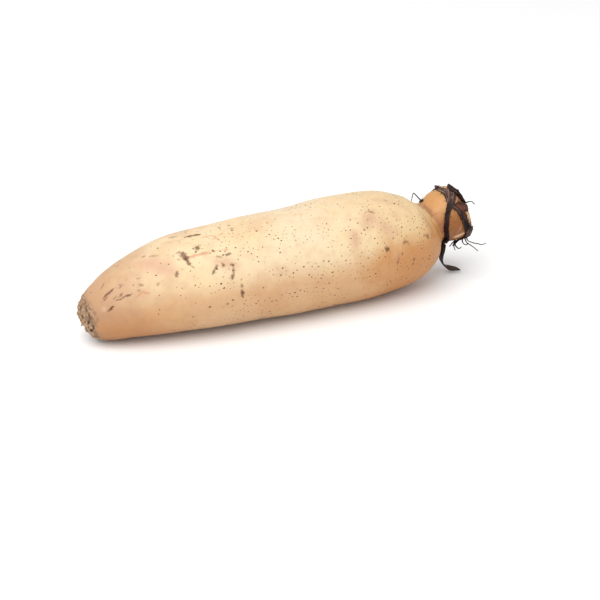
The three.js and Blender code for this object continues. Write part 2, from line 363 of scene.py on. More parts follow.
def strip_place(tree, name):
    return node("ShaderNodeUVMap", tree=tree, uv_map=name).outputs["UV"]


def point_mask(tree, name):
    return node("ShaderNodeAttribute", tree=tree, attribute_name=name).outputs["Fac"]


# The root's shape

def curve_through(knots, count):
    """Points on the smooth curve through the knots, spread evenly from knot to knot."""
    knots = np.asarray(knots, float)
    spread = np.vstack([2 * knots[0] - knots[1], knots, 2 * knots[-1] - knots[-2]])
    place = np.linspace(0, len(knots) - 1, count)
    first = np.minimum(place.astype(int), len(knots) - 2)
    share = (place - first)[:, None]
    before, start, end, after = (spread[first + i] for i in range(4))
    leave = (end - before) / 2
    arrive = (after - start) / 2
    cubic = 2 * start - 2 * end + leave + arrive
    square = 3 * end - 3 * start - 2 * leave - arrive
    return cubic * share**3 + square * share**2 + leave * share + start


CURVE_POINTS = 6001
SWELLING_CURVE = curve_through(SWELLING, CURVE_POINTS)
MIDDLE_CURVE = curve_through(MIDDLE_LINE, CURVE_POINTS)


def unit(vectors):
    return vectors / np.linalg.norm(vectors, axis=-1, keepdims=True)


def bell(x, middle, width):
    return np.exp(-(((x - middle) / width) ** 2))


def around(angle, middle, width):
    """A bell round the root: 1 at the middle angle. Its width is a sine of half an angle."""
    return bell(np.sin((angle - middle) / 2), 0, width)


def smooth_step(x, start, end):
    share = np.clip((np.asarray(x, float) - start) / (end - start), 0, 1)
    return share * share * (3 - 2 * share)


def radius_at(x):
    return np.interp(x, SWELLING_CURVE[:, 0], SWELLING_CURVE[:, 1])


def middle_at(x):
    sideways = np.interp(x, MIDDLE_CURVE[:, 0], MIDDLE_CURVE[:, 1])
    up = np.interp(x, MIDDLE_CURVE[:, 0], MIDDLE_CURVE[:, 2])
    return np.stack([x, sideways, up], axis=-1)


def section_at(x):
    """A cross-section's middle and axes: along the root, towards the front and upwards."""
    x = np.asarray(x, float)
    along = unit(middle_at(x + 0.5) - middle_at(x - 0.5))
    near = unit(np.cross(along, [0, 0, 1]))
    return middle_at(x), along, near, np.cross(near, along)


def unevenness(x, angle):
    """The skin isn't truly round: it is a little oval, dented, puckered, and swollen in places."""
    oval = 0.018 * np.cos(2 * angle - 0.6 + x / 90)
    three_sided = 0.01 * np.cos(3 * angle + 1.1 + x / 60)
    dents = 0.012 * np.sin(x / 13 + 2 * angle) * np.sin(x / 21 - angle + 0.8)
    scar_pucker = 0.03 * bell(x, SCAR_END, 8) * np.cos(6 * angle + 1)
    crease_pucker = 0.022 * bell(x, CREASE, 3.5) * np.cos(9 * angle + x / 4)
    whole = 1 + oval + three_sided + dents + scar_pucker + crease_pucker
    for share, middle, half_length, turn, width in SWELLS.values():
        whole = whole + share * bell(x, middle, half_length) * around(angle, turn, width)
    return whole


def from_section(x, radius, angle):
    middle, _, near, rise = section_at(x)
    sideways = (radius * np.cos(angle))[..., None] * near
    return middle + sideways + (radius * np.sin(angle))[..., None] * rise


def skin_point(x, angle):
    x, angle = np.broadcast_arrays(np.asarray(x, float), np.asarray(angle, float))
    return from_section(x, radius_at(x) * unevenness(x, angle), angle)


def skin_normal(x, angle):
    x, angle = np.broadcast_arrays(np.asarray(x, float), np.asarray(angle, float))
    along = skin_point(x + 0.4, angle) - skin_point(x - 0.4, angle)
    around = skin_point(x, angle + 0.02) - skin_point(x, angle - 0.02)
    return unit(np.cross(along, around))


def above_skin(x, angle, height):
    return skin_point(x, angle) + skin_normal(x, angle) * np.asarray(height, float)[..., None]


def lumps(points, size, seed=0.0):
    """Smooth noise, about -1 to 1, with lumps of this size."""
    flat = np.asarray(points, float).reshape(-1, 3) / size + seed
    values = [perlin.noise(Vector(p)) for p in flat]
    return np.array(values).reshape(np.asarray(points).shape[:-1])


def ridges(points, size, seed=0.0):
    """Noise with sharp crests, 0 to 1."""
    return 1 - np.minimum(np.abs(lumps(points, size, seed)) * 2.4, 1)


def scar_share(x, angle, points):
    """1 in the brown, torn skin by the scar, and 0 past its ragged edge."""
    upper = smooth_step(np.sin(angle), -0.1, 0.6)
    edge = 1.2 + 3.4 * upper + 1.5 * lumps(points, 5, 3.3) + 0.8 * lumps(points, 1.7, 8.1)
    return 1 - smooth_step(x - edge, -2.2, 2.0)


def ring_places():
    """Where the skin's rings stand, so that their steps along the skin are as RING_STEPS says."""
    steps = np.linalg.norm(np.diff(SWELLING_CURVE, axis=0), axis=1)
    places = [SWELLING_CURVE[0, 0]]
    walked = 0.0
    for length, (x, _) in zip(steps, SWELLING_CURVE[1:]):
        walked += length
        wanted = next(step for until, step in RING_STEPS if x <= until + 0.01)
        if walked >= wanted:
            places.append(x)
            walked = 0.0
    places[-1] = NECK_END
    return np.array(places)


def skin_relief(x, angle, points, scar):
    """How far the fine relief lifts the skin, in millimetres."""
    arc = np.stack([x, angle * radius_at(x), np.zeros_like(x)], axis=-1)
    waves = 0.12 * lumps(points, 11) + 0.05 * lumps(points, 3.4, 5.0)
    slanted = np.stack([arc[..., 0] + arc[..., 1] * 0.3, arc[..., 1] * 0.2, np.zeros_like(x)], -1)
    torn = scar * (0.5 * ridges(slanted, 2.3, 1.7) + 0.2 * ridges(points, 1.6, 4.4) - 0.3)
    folds = bell(x, CREASE, 4.5) * (0.35 * ridges(arc * [0.16, 1, 1], 1.9, 2.2) - 0.12)
    neck = smooth_step(x, 238, 241) * 0.16 * lumps(arc * [0.3, 1, 1], 3.0, 6.1)
    return waves * (1 - 0.5 * scar) + torn + folds + neck


def on_floor(points):
    """Where the root rests, its own weight has left the belly flat."""
    points[..., 2] = np.maximum(points[..., 2], ORIGIN[2])
    return points


def scar_cap(angles, rim, shares):
    """The rings of the torn dome that closes the scar."""
    x = np.full_like(angles, SCAR_END)
    _, along, _, _ = section_at(SCAR_END)
    ragged = 1 - 0.75 * around(angles, 1.75, 0.38)
    out_at = np.array(SCAR_DOME)[::-1]
    rings = []
    for share in shares:
        near_rim = 1 - smooth_step(share, 0.86, 1.0)
        wavy = 1 + 0.06 * near_rim * np.sin(4 * angles + 5 * share)
        ring = from_section(x, radius_at(x) * share * unevenness(x, angles) * wavy, angles)
        torn = 0.45 * np.sin(5 * angles + 9 * share) + 0.3 * np.sin(3 * angles - 7 * share)
        rough = 0.9 * ridges(ring, 1.9, 7.7) + 0.5 * lumps(ring, 0.9, 2.9) - 0.35
        out = (np.interp(share, out_at[:, 0], out_at[:, 1]) + near_rim * (torn + rough)) * ragged
        out = out + 1.5 * near_rim * around(angles, 2.65, 0.22)
        rings.append(ring - out[:, None] * along + (rim - skin_point(x, angles)) * share**6)
    return rings


def cut_face(rim, section):
    """The outline of the flat cut and its channel mouths, as they lie on the cut's own plane."""
    middle, _, near, rise = section
    outline = np.stack([(rim - middle) @ near, (rim - middle) @ rise], axis=-1)
    mouths = []
    for out, degrees, wide, high in CHANNELS:
        turn = math.radians(degrees)
        outwards = np.array([math.cos(turn), math.sin(turn)])
        sideways = np.array([-outwards[1], outwards[0]])
        a = np.linspace(0, 2 * math.pi, MOUTH_SIDES, endpoint=False)
        wobble = 1 + 0.05 * np.sin(2 * a + degrees) + 0.04 * np.sin(3 * a + out)
        mouth = outwards * out + (np.cos(a) * wobble * wide / 2)[:, None] * outwards
        mouths.append(mouth + (np.sin(a) * wobble * high / 2)[:, None] * sideways)
    return outline, mouths


def inside(polygon, points):
    """True for each point that lies inside the polygon."""
    x, y = points[:, 0][:, None], points[:, 1][:, None]
    x0, y0 = polygon[:, 0], polygon[:, 1]
    x1, y1 = np.roll(x0, -1), np.roll(y0, -1)
    crosses = (y0 > y) != (y1 > y)
    at = x0 + (y - y0) * (x1 - x0) / np.where(y1 == y0, 1e-12, y1 - y0)
    return (crosses & (x < at)).sum(axis=1) % 2 == 1


def fill_flat(outline, mouths, random):
    """Triangles over the outline but not over the mouths. New points come after the given ones."""
    low, high = outline.min(axis=0), outline.max(axis=0)
    steps = [np.arange(start, end, CUT_SPACING) for start, end in zip(low, high)]
    grid = np.stack(np.meshgrid(*steps), -1).reshape(-1, 2)
    grid += random.uniform(-0.28, 0.28, grid.shape) * CUT_SPACING
    keep = inside(outline * 0.965, grid)
    for mouth in mouths:
        centre = mouth.mean(axis=0)
        keep &= ~inside(centre + (mouth - centre) * 1.22, grid)
    points = np.vstack([outline, *mouths, grid[keep]])
    edges = []
    start = 0
    for loop in [outline, *mouths]:
        edges += [(start + i, start + (i + 1) % len(loop)) for i in range(len(loop))]
        start += len(loop)
    found, _, faces, origins, _, _ = delaunay_2d_cdt([Vector(p) for p in points], edges, [], 0, 1e-6)
    if len(found) != len(points):
        raise RuntimeError("The cut face's outline crosses itself, so it can't be filled")
    faces = [[origins[i][0] for i in face] for face in faces]
    centres = np.array([points[face].mean(axis=0) for face in faces])
    shown = inside(outline, centres)
    for mouth in mouths:
        shown &= ~inside(mouth, centres)
    return points, [face for face, kept in zip(faces, shown) if kept]


class MeshPlan:
    """Points, faces, masks and a flat map, gathered before they become one mesh."""

    def __init__(self):
        self.points = []
        self.faces = []
        self.face_maps = []
        self.face_materials = []
        self.masks = {}
        self.count = 0

    def add_points(self, points, **masks):
        points = np.asarray(points, float).reshape(-1, 3)
        first = self.count
        self.points.append(points)
        self.count += len(points)
        for name in set(self.masks) | set(masks):
            values = self.masks.setdefault(name, [])
            behind = first - sum(len(v) for v in values)
            if behind:
                values.append(np.zeros(behind))
            values.append(np.broadcast_to(masks.get(name, 0.0), len(points)))
        return first

    def add_face(self, corners, places, material=0):
        self.faces.append(corners)
        self.face_maps.append(places)
        self.face_materials.append(material)

    def build(self, name, materials, map_name):
        points = (np.vstack(self.points) - ORIGIN) * MM
        mesh = bpy.data.meshes.new(name)
        mesh.from_pydata(points.tolist(), [], self.faces)
        layer = mesh.uv_layers.new(name=map_name)
        places = [place for face in self.face_maps for place in face]
        layer.data.foreach_set("uv", np.asarray(places, np.float32).ravel())
        for mask, values in self.masks.items():
            attribute = mesh.attributes.new(mask, "FLOAT", "POINT")
            attribute.data.foreach_set("value", np.concatenate(values).astype(np.float32))
        for material in materials:
            mesh.materials.append(material)
        mesh.polygons.foreach_set("material_index", self.face_materials)
        mesh.polygons.foreach_set("use_smooth", [True] * len(self.faces))
        if mesh.validate():
            raise RuntimeError(f"{name} has broken faces")
        return mesh


def add_object(name, mesh):
    made = bpy.data.objects.new(name, mesh)
    bpy.context.scene.collection.objects.link(made)
    return made


def ride_as(piece, slot, *nodes):
    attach(piece, BODY)
    if nodes:
        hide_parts(*nodes)
    return piece


def ring_quads(first, rows, sides):
    """The faces between closed rings of points: the row, the side and the corners of each."""
    for row in range(rows - 1):
        for side in range(sides):
            a, b = (first + row * sides + i % sides for i in (side, side + 1))
            yield row, side, (a, a + sides, b + sides, b)


def root_mesh(settings, materials):
    sides = settings.sides
    random = np.random.default_rng(settings.seed)
    angles = math.radians(STRIP_SEAM) + np.arange(sides) * 2 * math.pi / sides
    places = ring_places()
    x, angle = np.meshgrid(places, angles, indexing="ij")
    points = skin_point(x, angle)
    scar = scar_share(x, angle, points)
    relief = skin_relief(x, angle, points, scar) * settings.relief
    relief[-1] = 0
    skin = on_floor(points + skin_normal(x, angle) * relief[..., None])
    plan = MeshPlan()

    shares = np.linspace(1, 0, CAP_RINGS)[1:-1]
    cap = scar_cap(angles, skin[0], shares)
    cap_x = SCAR_END - (1 - shares) * radius_at(SCAR_END)
    first = plan.add_points(np.vstack(cap[::-1]), scar=1.0, torn=1.0)
    torn = np.repeat(places < SCAR_END + 0.1, sides).astype(float)
    plan.add_points(skin, scar=scar.ravel(), torn=torn)
    u = np.concatenate([cap_x[::-1], places]) * MM
    v = np.append(angles, angles[0] + 2 * math.pi) * STRIP_RADIUS
    for row, side, corners in ring_quads(first, len(u), sides):
        (low, high), (here, further) = u[row:row + 2], v[side:side + 2]
        plan.add_face(corners, ((low, here), (high, here), (high, further), (low, further)))
    middle, along, _, _ = section_at(SCAR_END)
    tip = plan.add_points([middle - along * SCAR_DOME[-1][1]], scar=1.0, torn=1.0)
    for side in range(sides):
        corners = (tip, first + side, first + (side + 1) % sides)
        plan.add_face(corners, tuple((u[0], v[i]) for i in (side, side, side + 1)))

    section = section_at(NECK_END)
    neck_middle, along, near, rise = section
    rim_start = first + (len(u) - 1) * sides
    outline, mouths = cut_face(skin[-1], section)
    flat, faces = fill_flat(outline, mouths, random)
    rough = 0.12 * lumps(np.column_stack([flat, np.zeros(len(flat))]), 2.2, 9.0)
    rough[: sum(len(loop) for loop in [outline, *mouths])] = 0
    placed_flat = neck_middle + flat[:, :1] * near + flat[:, 1:] * rise + rough[:, None] * along
    rim_share = np.linalg.norm(flat, axis=1) / radius_at(NECK_END)
    fresh = plan.add_points(placed_flat[sides:], rim=rim_share[sides:], cut=1.0)
    number = np.concatenate([rim_start + np.arange(sides), fresh + np.arange(len(flat) - sides)])
    for face in faces:
        a, b, c = flat[face]
        turned = (b[0] - a[0]) * (c[1] - a[1]) - (b[1] - a[1]) * (c[0] - a[0])
        corners = face if turned < 0 else face[::-1]
        corners_flat = [tuple(flat[i] * MM + CUT_MAP) for i in corners]
        plan.add_face([int(number[i]) for i in corners], corners_flat, 1)
    start = sides
    for mouth in mouths:
        numbers = [int(i) for i in number[start:start + len(mouth)]]
        add_channel(plan, numbers, mouth, settings.channel_depth / MM, section)
        start += len(mouth)
    return plan.build("whole_root", materials, "Skin strip")


def add_channel(plan, mouth_numbers, mouth, depth, section):
    """An air channel's wall and blind end, sunk from its mouth."""
    middle, along, near, rise = section
    centre = mouth.mean(axis=0)
    count = len(mouth)
    previous = mouth_numbers
    for share, narrow in CHANNEL_RINGS:
        flat = centre + (mouth - centre) * narrow
        ring = middle + flat[:, :1] * near + flat[:, 1:] * rise - along * depth * share
        # Each ring keeps its depth in the channel, which paints the shade deepening down it.
        fresh = plan.add_points(ring, pore=share, cut=1.0)
        ring_numbers = [fresh + i for i in range(count)]
        for i in range(count):
            j = (i + 1) % count
            corners = (previous[i], previous[j], ring_numbers[j], ring_numbers[i])
            flat_map = [(CUT_MAP + k * MM, WALL_MAP + share * depth * MM) for k in (i, i + 1, i + 1, i)]
            plan.add_face(corners, flat_map, 1)
        previous = ring_numbers
    bottom = middle + centre[0] * near + centre[1] * rise - along * depth
    tip = plan.add_points([bottom], pore=1.0, cut=1.0)
    for i in range(count):
        plan.add_face((previous[i], previous[(i + 1) % count], tip), [(CUT_MAP, TIP_MAP)] * 3, 1)


# The root's finishes

# Scuffs, scratches and stains of the skin. Each is half its width, the softness of its edge and
# how strong it is, then the places that it runs through: distance along and degrees round.
DARK_MARKS = [
    (0.5, 0.35, 0.95, 62.7, 83, 66.8, 82.3, 70.8, 81), (0.5, 0.35, 0.7, 55, 93, 57.9, 90),
    (1.3, 0.6, 0.75, 65, 60, 65.6, 61.5), (0.45, 0.4, 0.5, 65.6, 61, 66.7, 64),
    (1.1, 0.55, 0.85, 56.7, 59.5, 57.3, 54, 57.5, 49.5), (0.5, 0.4, 0.6, 54, 62, 55.9, 62),
    (0.6, 0.45, 0.8, 57.4, 50, 57.9, 44.5), (0.7, 0.4, 1, 57.9, 44.6, 58.1, 44),
    (0.3, 0.4, 0.6, 57.9, 44, 60, 38), (0.5, 0.5, 0.45, 55, 58, 56.4, 53),
    (0.5, 0.4, 0.6, 53.5, 53, 53.9, 52.4), (0.45, 0.45, 0.75, 50.8, 39.6, 50.2, 36, 49.9, 34.5),
    (0.5, 0.45, 0.6, 74.4, 45, 75.6, 44.4, 76.9, 43.4), (0.6, 0.4, 0.8, 79.9, 44, 81, 45.5, 82.4, 45),
    (0.6, 0.4, 0.95, 73.2, 53, 73.4, 52.6), (0.7, 0.4, 0.85, 81.8, 33, 82.4, 31),
    (0.55, 0.45, 0.8, 82.3, 28, 81.9, 24), (0.65, 0.45, 0.75, 81.5, 22, 79.9, 17.5),
    (0.55, 0.4, 0.85, 72.8, 35, 71.2, 31, 69.6, 27), (0.65, 0.4, 0.8, 76.3, 35.2, 76.3, 33),
    (0.6, 0.4, 0.8, 85.4, 8, 85.3, 6.5), (0.7, 0.4, 0.9, 85.4, 2.5, 85.4, -4),
    (0.4, 0.5, 0.45, 41.5, 73, 44.3, 69), (0.7, 0.5, 0.7, 39.5, 33.4, 39.7, 32.4),
    (0.5, 0.4, 0.5, 83.6, 87, 84, 85), (0.6, 0.4, 0.6, 89.4, 86.5, 90, 85.5),
    (0.4, 0.4, 0.5, 89.1, 79, 90.8, 77.6), (0.55, 0.4, 0.85, 18.9, 53.6, 15.6, 52, 11.8, 50),
    (0.95, 0.5, 0.8, 16.4, 52.5, 14.9, 51.4), (0.4, 0.4, 0.65, 14.4, 47.6, 11.8, 46),
    (0.55, 0.4, 0.9, 24.6, 33, 22.2, 34), (0.35, 0.4, 0.75, 22.4, 34, 18.9, 33.6, 17.2, 35),
    (0.4, 0.4, 0.7, 21.5, 40, 19.4, 38), (0.35, 0.4, 0.6, 18, 40, 16.7, 39),
    (0.6, 0.4, 0.9, 14.4, 29.3, 11.3, 26), (0.4, 0.4, 0.6, 23.3, 51, 21.5, 50),
    (0.3, 0.4, 0.5, 21.8, 55, 22.4, 52), (0.6, 0.5, 0.6, 39.1, 78, 38.4, 77.6),
    (0.35, 0.45, 0.6, 16.2, 74, 13.4, 68), (0.5, 0.4, 0.6, 30.8, 40.6, 31.9, 38),
    (0.5, 0.4, 0.55, 28.8, 34.4, 29.1, 33.6), (0.35, 0.4, 0.6, 30.5, 50.4, 32.2, 49),
    (0.4, 0.4, 0.4, 24.2, 91, 25.8, 89), (0.45, 0.5, 0.6, 177.2, 60.4, 179.9, 56.8),
    (1.1, 0.6, 0.9, 181.6, 15.6, 182.6, 14.4), (0.6, 0.4, 0.8, 192.8, 7.4, 193, 6.6),
    (0.8, 0.6, 0.75, 215.4, 23, 216, 19), (0.45, 0.4, 0.6, 212.4, 24.4, 213.4, 23),
    (0.4, 0.4, 0.65, 194.1, 18, 195.4, 20.4, 198.1, 18.4), (0.6, 0.5, 0.7, 203.1, -1.4, 203, -3),
    (0.45, 0.5, 0.8, 189.9, -1, 190, -3), (0.3, 0.6, 0.4, 234.4, 97, 235, 78),
    (0.22, 0.5, 0.5, 236.6, 92, 236.4, 60), (0.3, 0.6, 0.45, 235.4, 74, 235.2, 48),
    (0.3, 0.4, 0.7, 190.6, 1.6, 190.4, 0.6), (0.55, 0.4, 0.6, 202.8, -7.6, 202.8, -8.8),
    (0.4, 0.4, 0.45, 192.3, 75, 192.8, 73), (0.26, 0.26, 0.95, 244.8, 9.4, 244.9, 8.8),
    (0.2, 0.24, 0.6, 239.9, 51.2, 240, 50.8),
]
PINK_MARKS = [
    (0.85, 0.8, 0.8, 59, 52, 64.6, 52.4, 70.2, 52), (0.35, 0.5, 0.45, 70.2, 52, 81.2, 51),
    (0.7, 0.5, 0.9, 81, 51.2, 81.4, 50.8), (0.35, 0.5, 0.7, 70.2, 74, 75.6, 74.6, 76.9, 74),
    (0.45, 0.5, 0.85, 76.9, 74, 79.3, 65), (0.4, 0.4, 0.8, 81.2, 73, 83.6, 74),
    (0.4, 0.8, 0.45, 52.6, 83, 60.6, 79), (0.5, 0.5, 0.7, 53.5, 40.6, 54.4, 39.6),
    (0.5, 0.7, 0.6, 54, 102, 56.9, 104), (0.55, 0.7, 0.8, 27, 27, 30.4, 31, 33.4, 25),
    (1.4, 1.2, 0.7, 4, 82, 4.8, 77), (0.9, 0.7, 1, 189.9, -1, 190, -3),
    (1.5, 1.6, 0.75, 190.2, 5, 190.2, 2), (0.7, 0.5, 0.8, 221.5, -7, 221.3, -10),
    (0.7, 0.6, 0.9, 204.9, -15.6, 204.9, -17.4), (1.7, 0.9, 0.95, 253.6, 54, 253.4, 46),
    (0.7, 0.5, 0.9, 246.4, -15, 247.8, -6), (0.4, 0.5, 0.7, 244.4, -20, 246, -17),
]
PALE_MARKS = [
    (1.1, 0.6, 0.95, 254.8, 17, 254.9, -6), (2.7, 0.9, 0.95, 243.8, -37, 247, -30, 250.4, -31),
]
SCAR_MARKS = [
    (0.6, 0.4, 1, -0.2, 76, -1.4, 68), (0.6, 0.4, 1, -2.2, 56, -3, 44),
    (0.8, 0.5, 0.9, -0.4, 31, -1.6, 22), (0.8, 0.4, 1, -1.6, 8, -2.8, -2),
    (0.35, 0.4, 0.8, 2.4, 62, 1.6, 48), (0.4, 0.4, 0.8, 1.6, 42, 0.8, 30),
    (0.5, 0.5, 0.8, 0.2, 15, -0.6, 4), (0.5, 0.5, 0.75, 4.6, 25, 4.2, 17),
    (0.5, 0.7, 0.5, 3.4, 78, 2.6, 68), (0.4, 0.3, 0.9, -2.4, 36, -3, 28),
    (0.5, 0.4, 0.7, -1.8, 18, -2.6, 12), (0.6, 0.5, 0.8, -0.4, -20, -1.8, -34),
    (0.6, 0.5, 0.8, -1, 118, -2.2, 134), (0.6, 0.5, 0.8, 0.6, 170, -1.6, 190),
]
STAINS = [
    (1.6, 2.2, 0.6, 60, 108, 70, 103, 77, 98), (5.2, 4.8, 0.9, 37, 67, 41.7, 56, 47, 44),
    (4.4, 5, 0.8, 178.6, 57, 172.4, 46), (4.5, 6, 0.75, 181, 44, 187, 32),
    (3.2, 3.8, 0.85, 162.3, 38, 161.3, 27), (2.2, 3.4, 0.5, 192.8, 54, 193.4, 47),
    (1.4, 1.8, 0.8, 9.6, 36, 9.4, 30), (0.8, 1.6, 0.5, 28, 84, 23.6, 78, 21.5, 71),
    (3.8, 4.4, 0.65, 73.4, 40, 84, 30), (2.8, 3.6, 0.45, 186, 78, 196, 70),
    (1.8, 2.2, 0.5, 28, 26, 32, 22),
]

# How much wider the marks are drawn than they are written, because the noise frays their edges.
DARK_WIDER, PINK_WIDER, SCAR_WIDER = 1.75, 1.3, 1.2


def drawn_marks(place, marks, wider=1.0):
    so_far = 0.0
    for half_width, edge, strength, *route in marks:
        places = zip(route[::2], route[1::2])
        ends = [(x * MM, math.radians(turn) * STRIP_RADIUS, 0.0) for x, turn in places]
        for start, end in zip(ends, ends[1:]):
            so_far = effect(
                "Scuff stroke", Place=place, Start=start, End=end, Half_Width=half_width * wider * MM,
                Edge=edge * wider * MM, Strength=strength, Drawn_So_Far=so_far,
            )
    return so_far


def skin_material(settings):
    """Cream skin that turns tan towards the scar, with its stains and scuffs. Low down it turns ochre,
    partly stain and partly painted shade; painted shade also darkens the low side of the scar end, the
    neck's front and underside and its crease.
    Places along the root, round it and above the floor are in metres."""
    material, tree = new_material("Lotus root skin")
    place = object_place(tree)
    strip = strip_place(tree, "Skin strip")
    along, round_it, _ = split(strip)
    height = split(place)["Z"]
    scar = point_mask(tree, "scar")

    def patches(size, middle=0.5, softness=0.15, detail=3.0):
        return effect("Mottle", Vector=place, Size=size, Middle=middle, Softness=softness, Detail=detail)

    broad = patches(0.045, softness=0.2)
    medium = patches(0.014, 0.52)
    fine = patches(0.0022, 0.5, 0.25, 4.0)
    drift = times_plus(minus(medium, 0.5), 0.012, along)

    def after(start, end):
        return fade(drift, start, end)

    colour = blended(times(broad, 0.6), settings.cream, settings.peach)
    colour = coated(colour, settings.peach, after(0.135, 0.2), 0.8)
    colour = coated(colour, settings.blush, patches(0.02, 0.6, 0.1), 0.34)
    colour = coated(colour, settings.tan, patches(0.006, 0.57, 0.11), 0.16)
    colour = coated(colour, settings.tan, after(0.064, 0.014), 0.95)
    # Painted shade: the low side of the scar end is painted darker, where shade falls.
    scar_end_shade = times(after(0.034, 0.004), fade(height, 0.042, 0.022))
    colour = coated(colour, settings.scar_end_shade, scar_end_shade, 0.5)
    colour = coated(colour, settings.blush, drawn_marks(strip, STAINS))
    # Partly stain and partly painted shade: the skin turns ochre low down, below a height above the floor
    # that is lower at the scar end and higher, and stronger, at the thick end.
    above = times_plus(broad, 0.008, height)
    above = plus(above, times(after(0.06, 0.0), 0.016))
    thick_end = after(0.155, 0.2)
    above = minus(above, times(thick_end, 0.0095))
    most = times_plus(thick_end, 0.33, 0.5)
    colour = coated(colour, settings.belly, times(fade(above, 0.05, 0.033), most))

    # Past the crease the neck is orange-tan, with painted shade darkening its front and underside.
    neck = fade(along, 0.2345, 0.238)
    low_side_shade = fade(round_it, 0.036, 0.004)
    colour = coated(colour, blended(low_side_shade, settings.neck, settings.neck_shade), neck)
    # The crease's reddish ring is its own colour; it is painted stronger towards the front and underside as
    # painted shade.
    wander = times_plus(minus(medium, 0.5), 0.001, along)
    from_crease = absolute(minus(wander, CREASE * MM))
    crease = times_plus(low_side_shade, 0.2, 0.72)
    colour = coated(colour, settings.crease, times(fade(from_crease, 0.0028, 0.0), crease))

    dots = effect("Pinpricks", Vector=place, Spacing=0.0031, Radius=0.00062, Share=0.5)
    colour = coated(colour, settings.dots, dots, 0.4)
    shift = vector_maths("SUBTRACT", noise(place, "Color", Scale=620.0, Detail=4.0), (0.5, 0.5, 0.5))
    wavering = vector_maths("ADD", strip, stretched(shift, 0.0026))
    flat_place = vector_maths("MULTIPLY", wavering, (1, 1, 0))
    colour = coated(colour, settings.pink, drawn_marks(flat_place, PINK_MARKS, PINK_WIDER), 0.85)
    colour = coated(colour, settings.pale, drawn_marks(flat_place, PALE_MARKS))
    dark = drawn_marks(flat_place, DARK_MARKS, DARK_WIDER)
    dark = smaller(times(dark, times_plus(fine, 0.4, 0.82)), 1.0)
    from_front = absolute(minus(round_it, 0.026))
    streaks = noise(vector_maths("MULTIPLY", wavering, (75, 260, 1)), Detail=2.0)
    streaks = times(fade(streaks, 0.64, 0.71), fade(from_front, 0.042, 0.056))
    dark = larger(dark, times(held(streaks), 0.6))
    colour = coated(colour, settings.dark, dark)

    turned = {"Vector": strip, "Rotation": (0.0, 0.0, 0.25), "Scale": (430, 60, 1)}
    slant = node("ShaderNodeMapping", turned).outputs[0]
    wrinkle = noise(slant, Detail=3.0, Roughness=0.6, Distortion=0.5)
    wrinkles = fade(absolute(minus(wrinkle, 0.5)), 0.055, 0.0)
    torn_skin = blended(times(medium, 0.6), settings.scar, settings.scar_pale)
    torn_skin = coated(torn_skin, settings.scar_dark, wrinkles, 0.6)
    torn_skin = coated(torn_skin, settings.torn, drawn_marks(flat_place, SCAR_MARKS, SCAR_WIDER))
    colour = coated(colour, torn_skin, scar)
    speckled = blended(times(fine, 0.05), colour, (0.55, 0.4, 0.25), "MULTIPLY")

    roughness = times_plus(medium, 0.1, 0.43)
    roughness = times_plus(scar, 0.3, roughness)
    lift = times_plus(fine, 0.25, times(dark, -0.5))
    lift = plus(lift, times(times(wrinkles, scar), -1.2))
    return finished(
        material, speckled, roughness, lift, SKIN_RELIEF, Subsurface_Weight=0.12,
        Subsurface_Radius=(1.0, 0.45, 0.2), Subsurface_Scale=0.004, Specular_IOR_Level=0.4,
    )


def flesh_material(settings):
    """Pale flesh, tan at the cut's rim, with painted shade that darkens it down in the air channels."""
    material, tree = new_material("Cut flesh")
    place = object_place(tree)
    rim = point_mask(tree, "rim")
    pore = point_mask(tree, "pore")
    broad = effect("Mottle", Vector=place, Size=0.006)
    fine = effect("Mottle", Vector=place, Size=0.0009, Softness=0.3)
    dots = effect("Pinpricks", Vector=place, Spacing=0.0017, Radius=0.0004, Share=0.6)
    edge = times_plus(broad, 0.03, rim)
    colour = blended(times(broad, 0.5), settings.flesh, settings.peach)
    colour = coated(colour, settings.neck, dots, 0.35)
    colour = coated(colour, settings.neck, fade(edge, 0.9, 0.99))
    # Painted shade: the channel walls darken with depth.
    colour = coated(colour, settings.pore, fade(pore, 0.0, 1.0))
    roughness = times_plus(fine, 0.12, 0.4)
    return finished(
        material, colour, roughness, plus(fine, dots), FLESH_RELIEF, Subsurface_Weight=0.15,
        Subsurface_Radius=(1.0, 0.5, 0.25), Subsurface_Scale=0.003,
    )


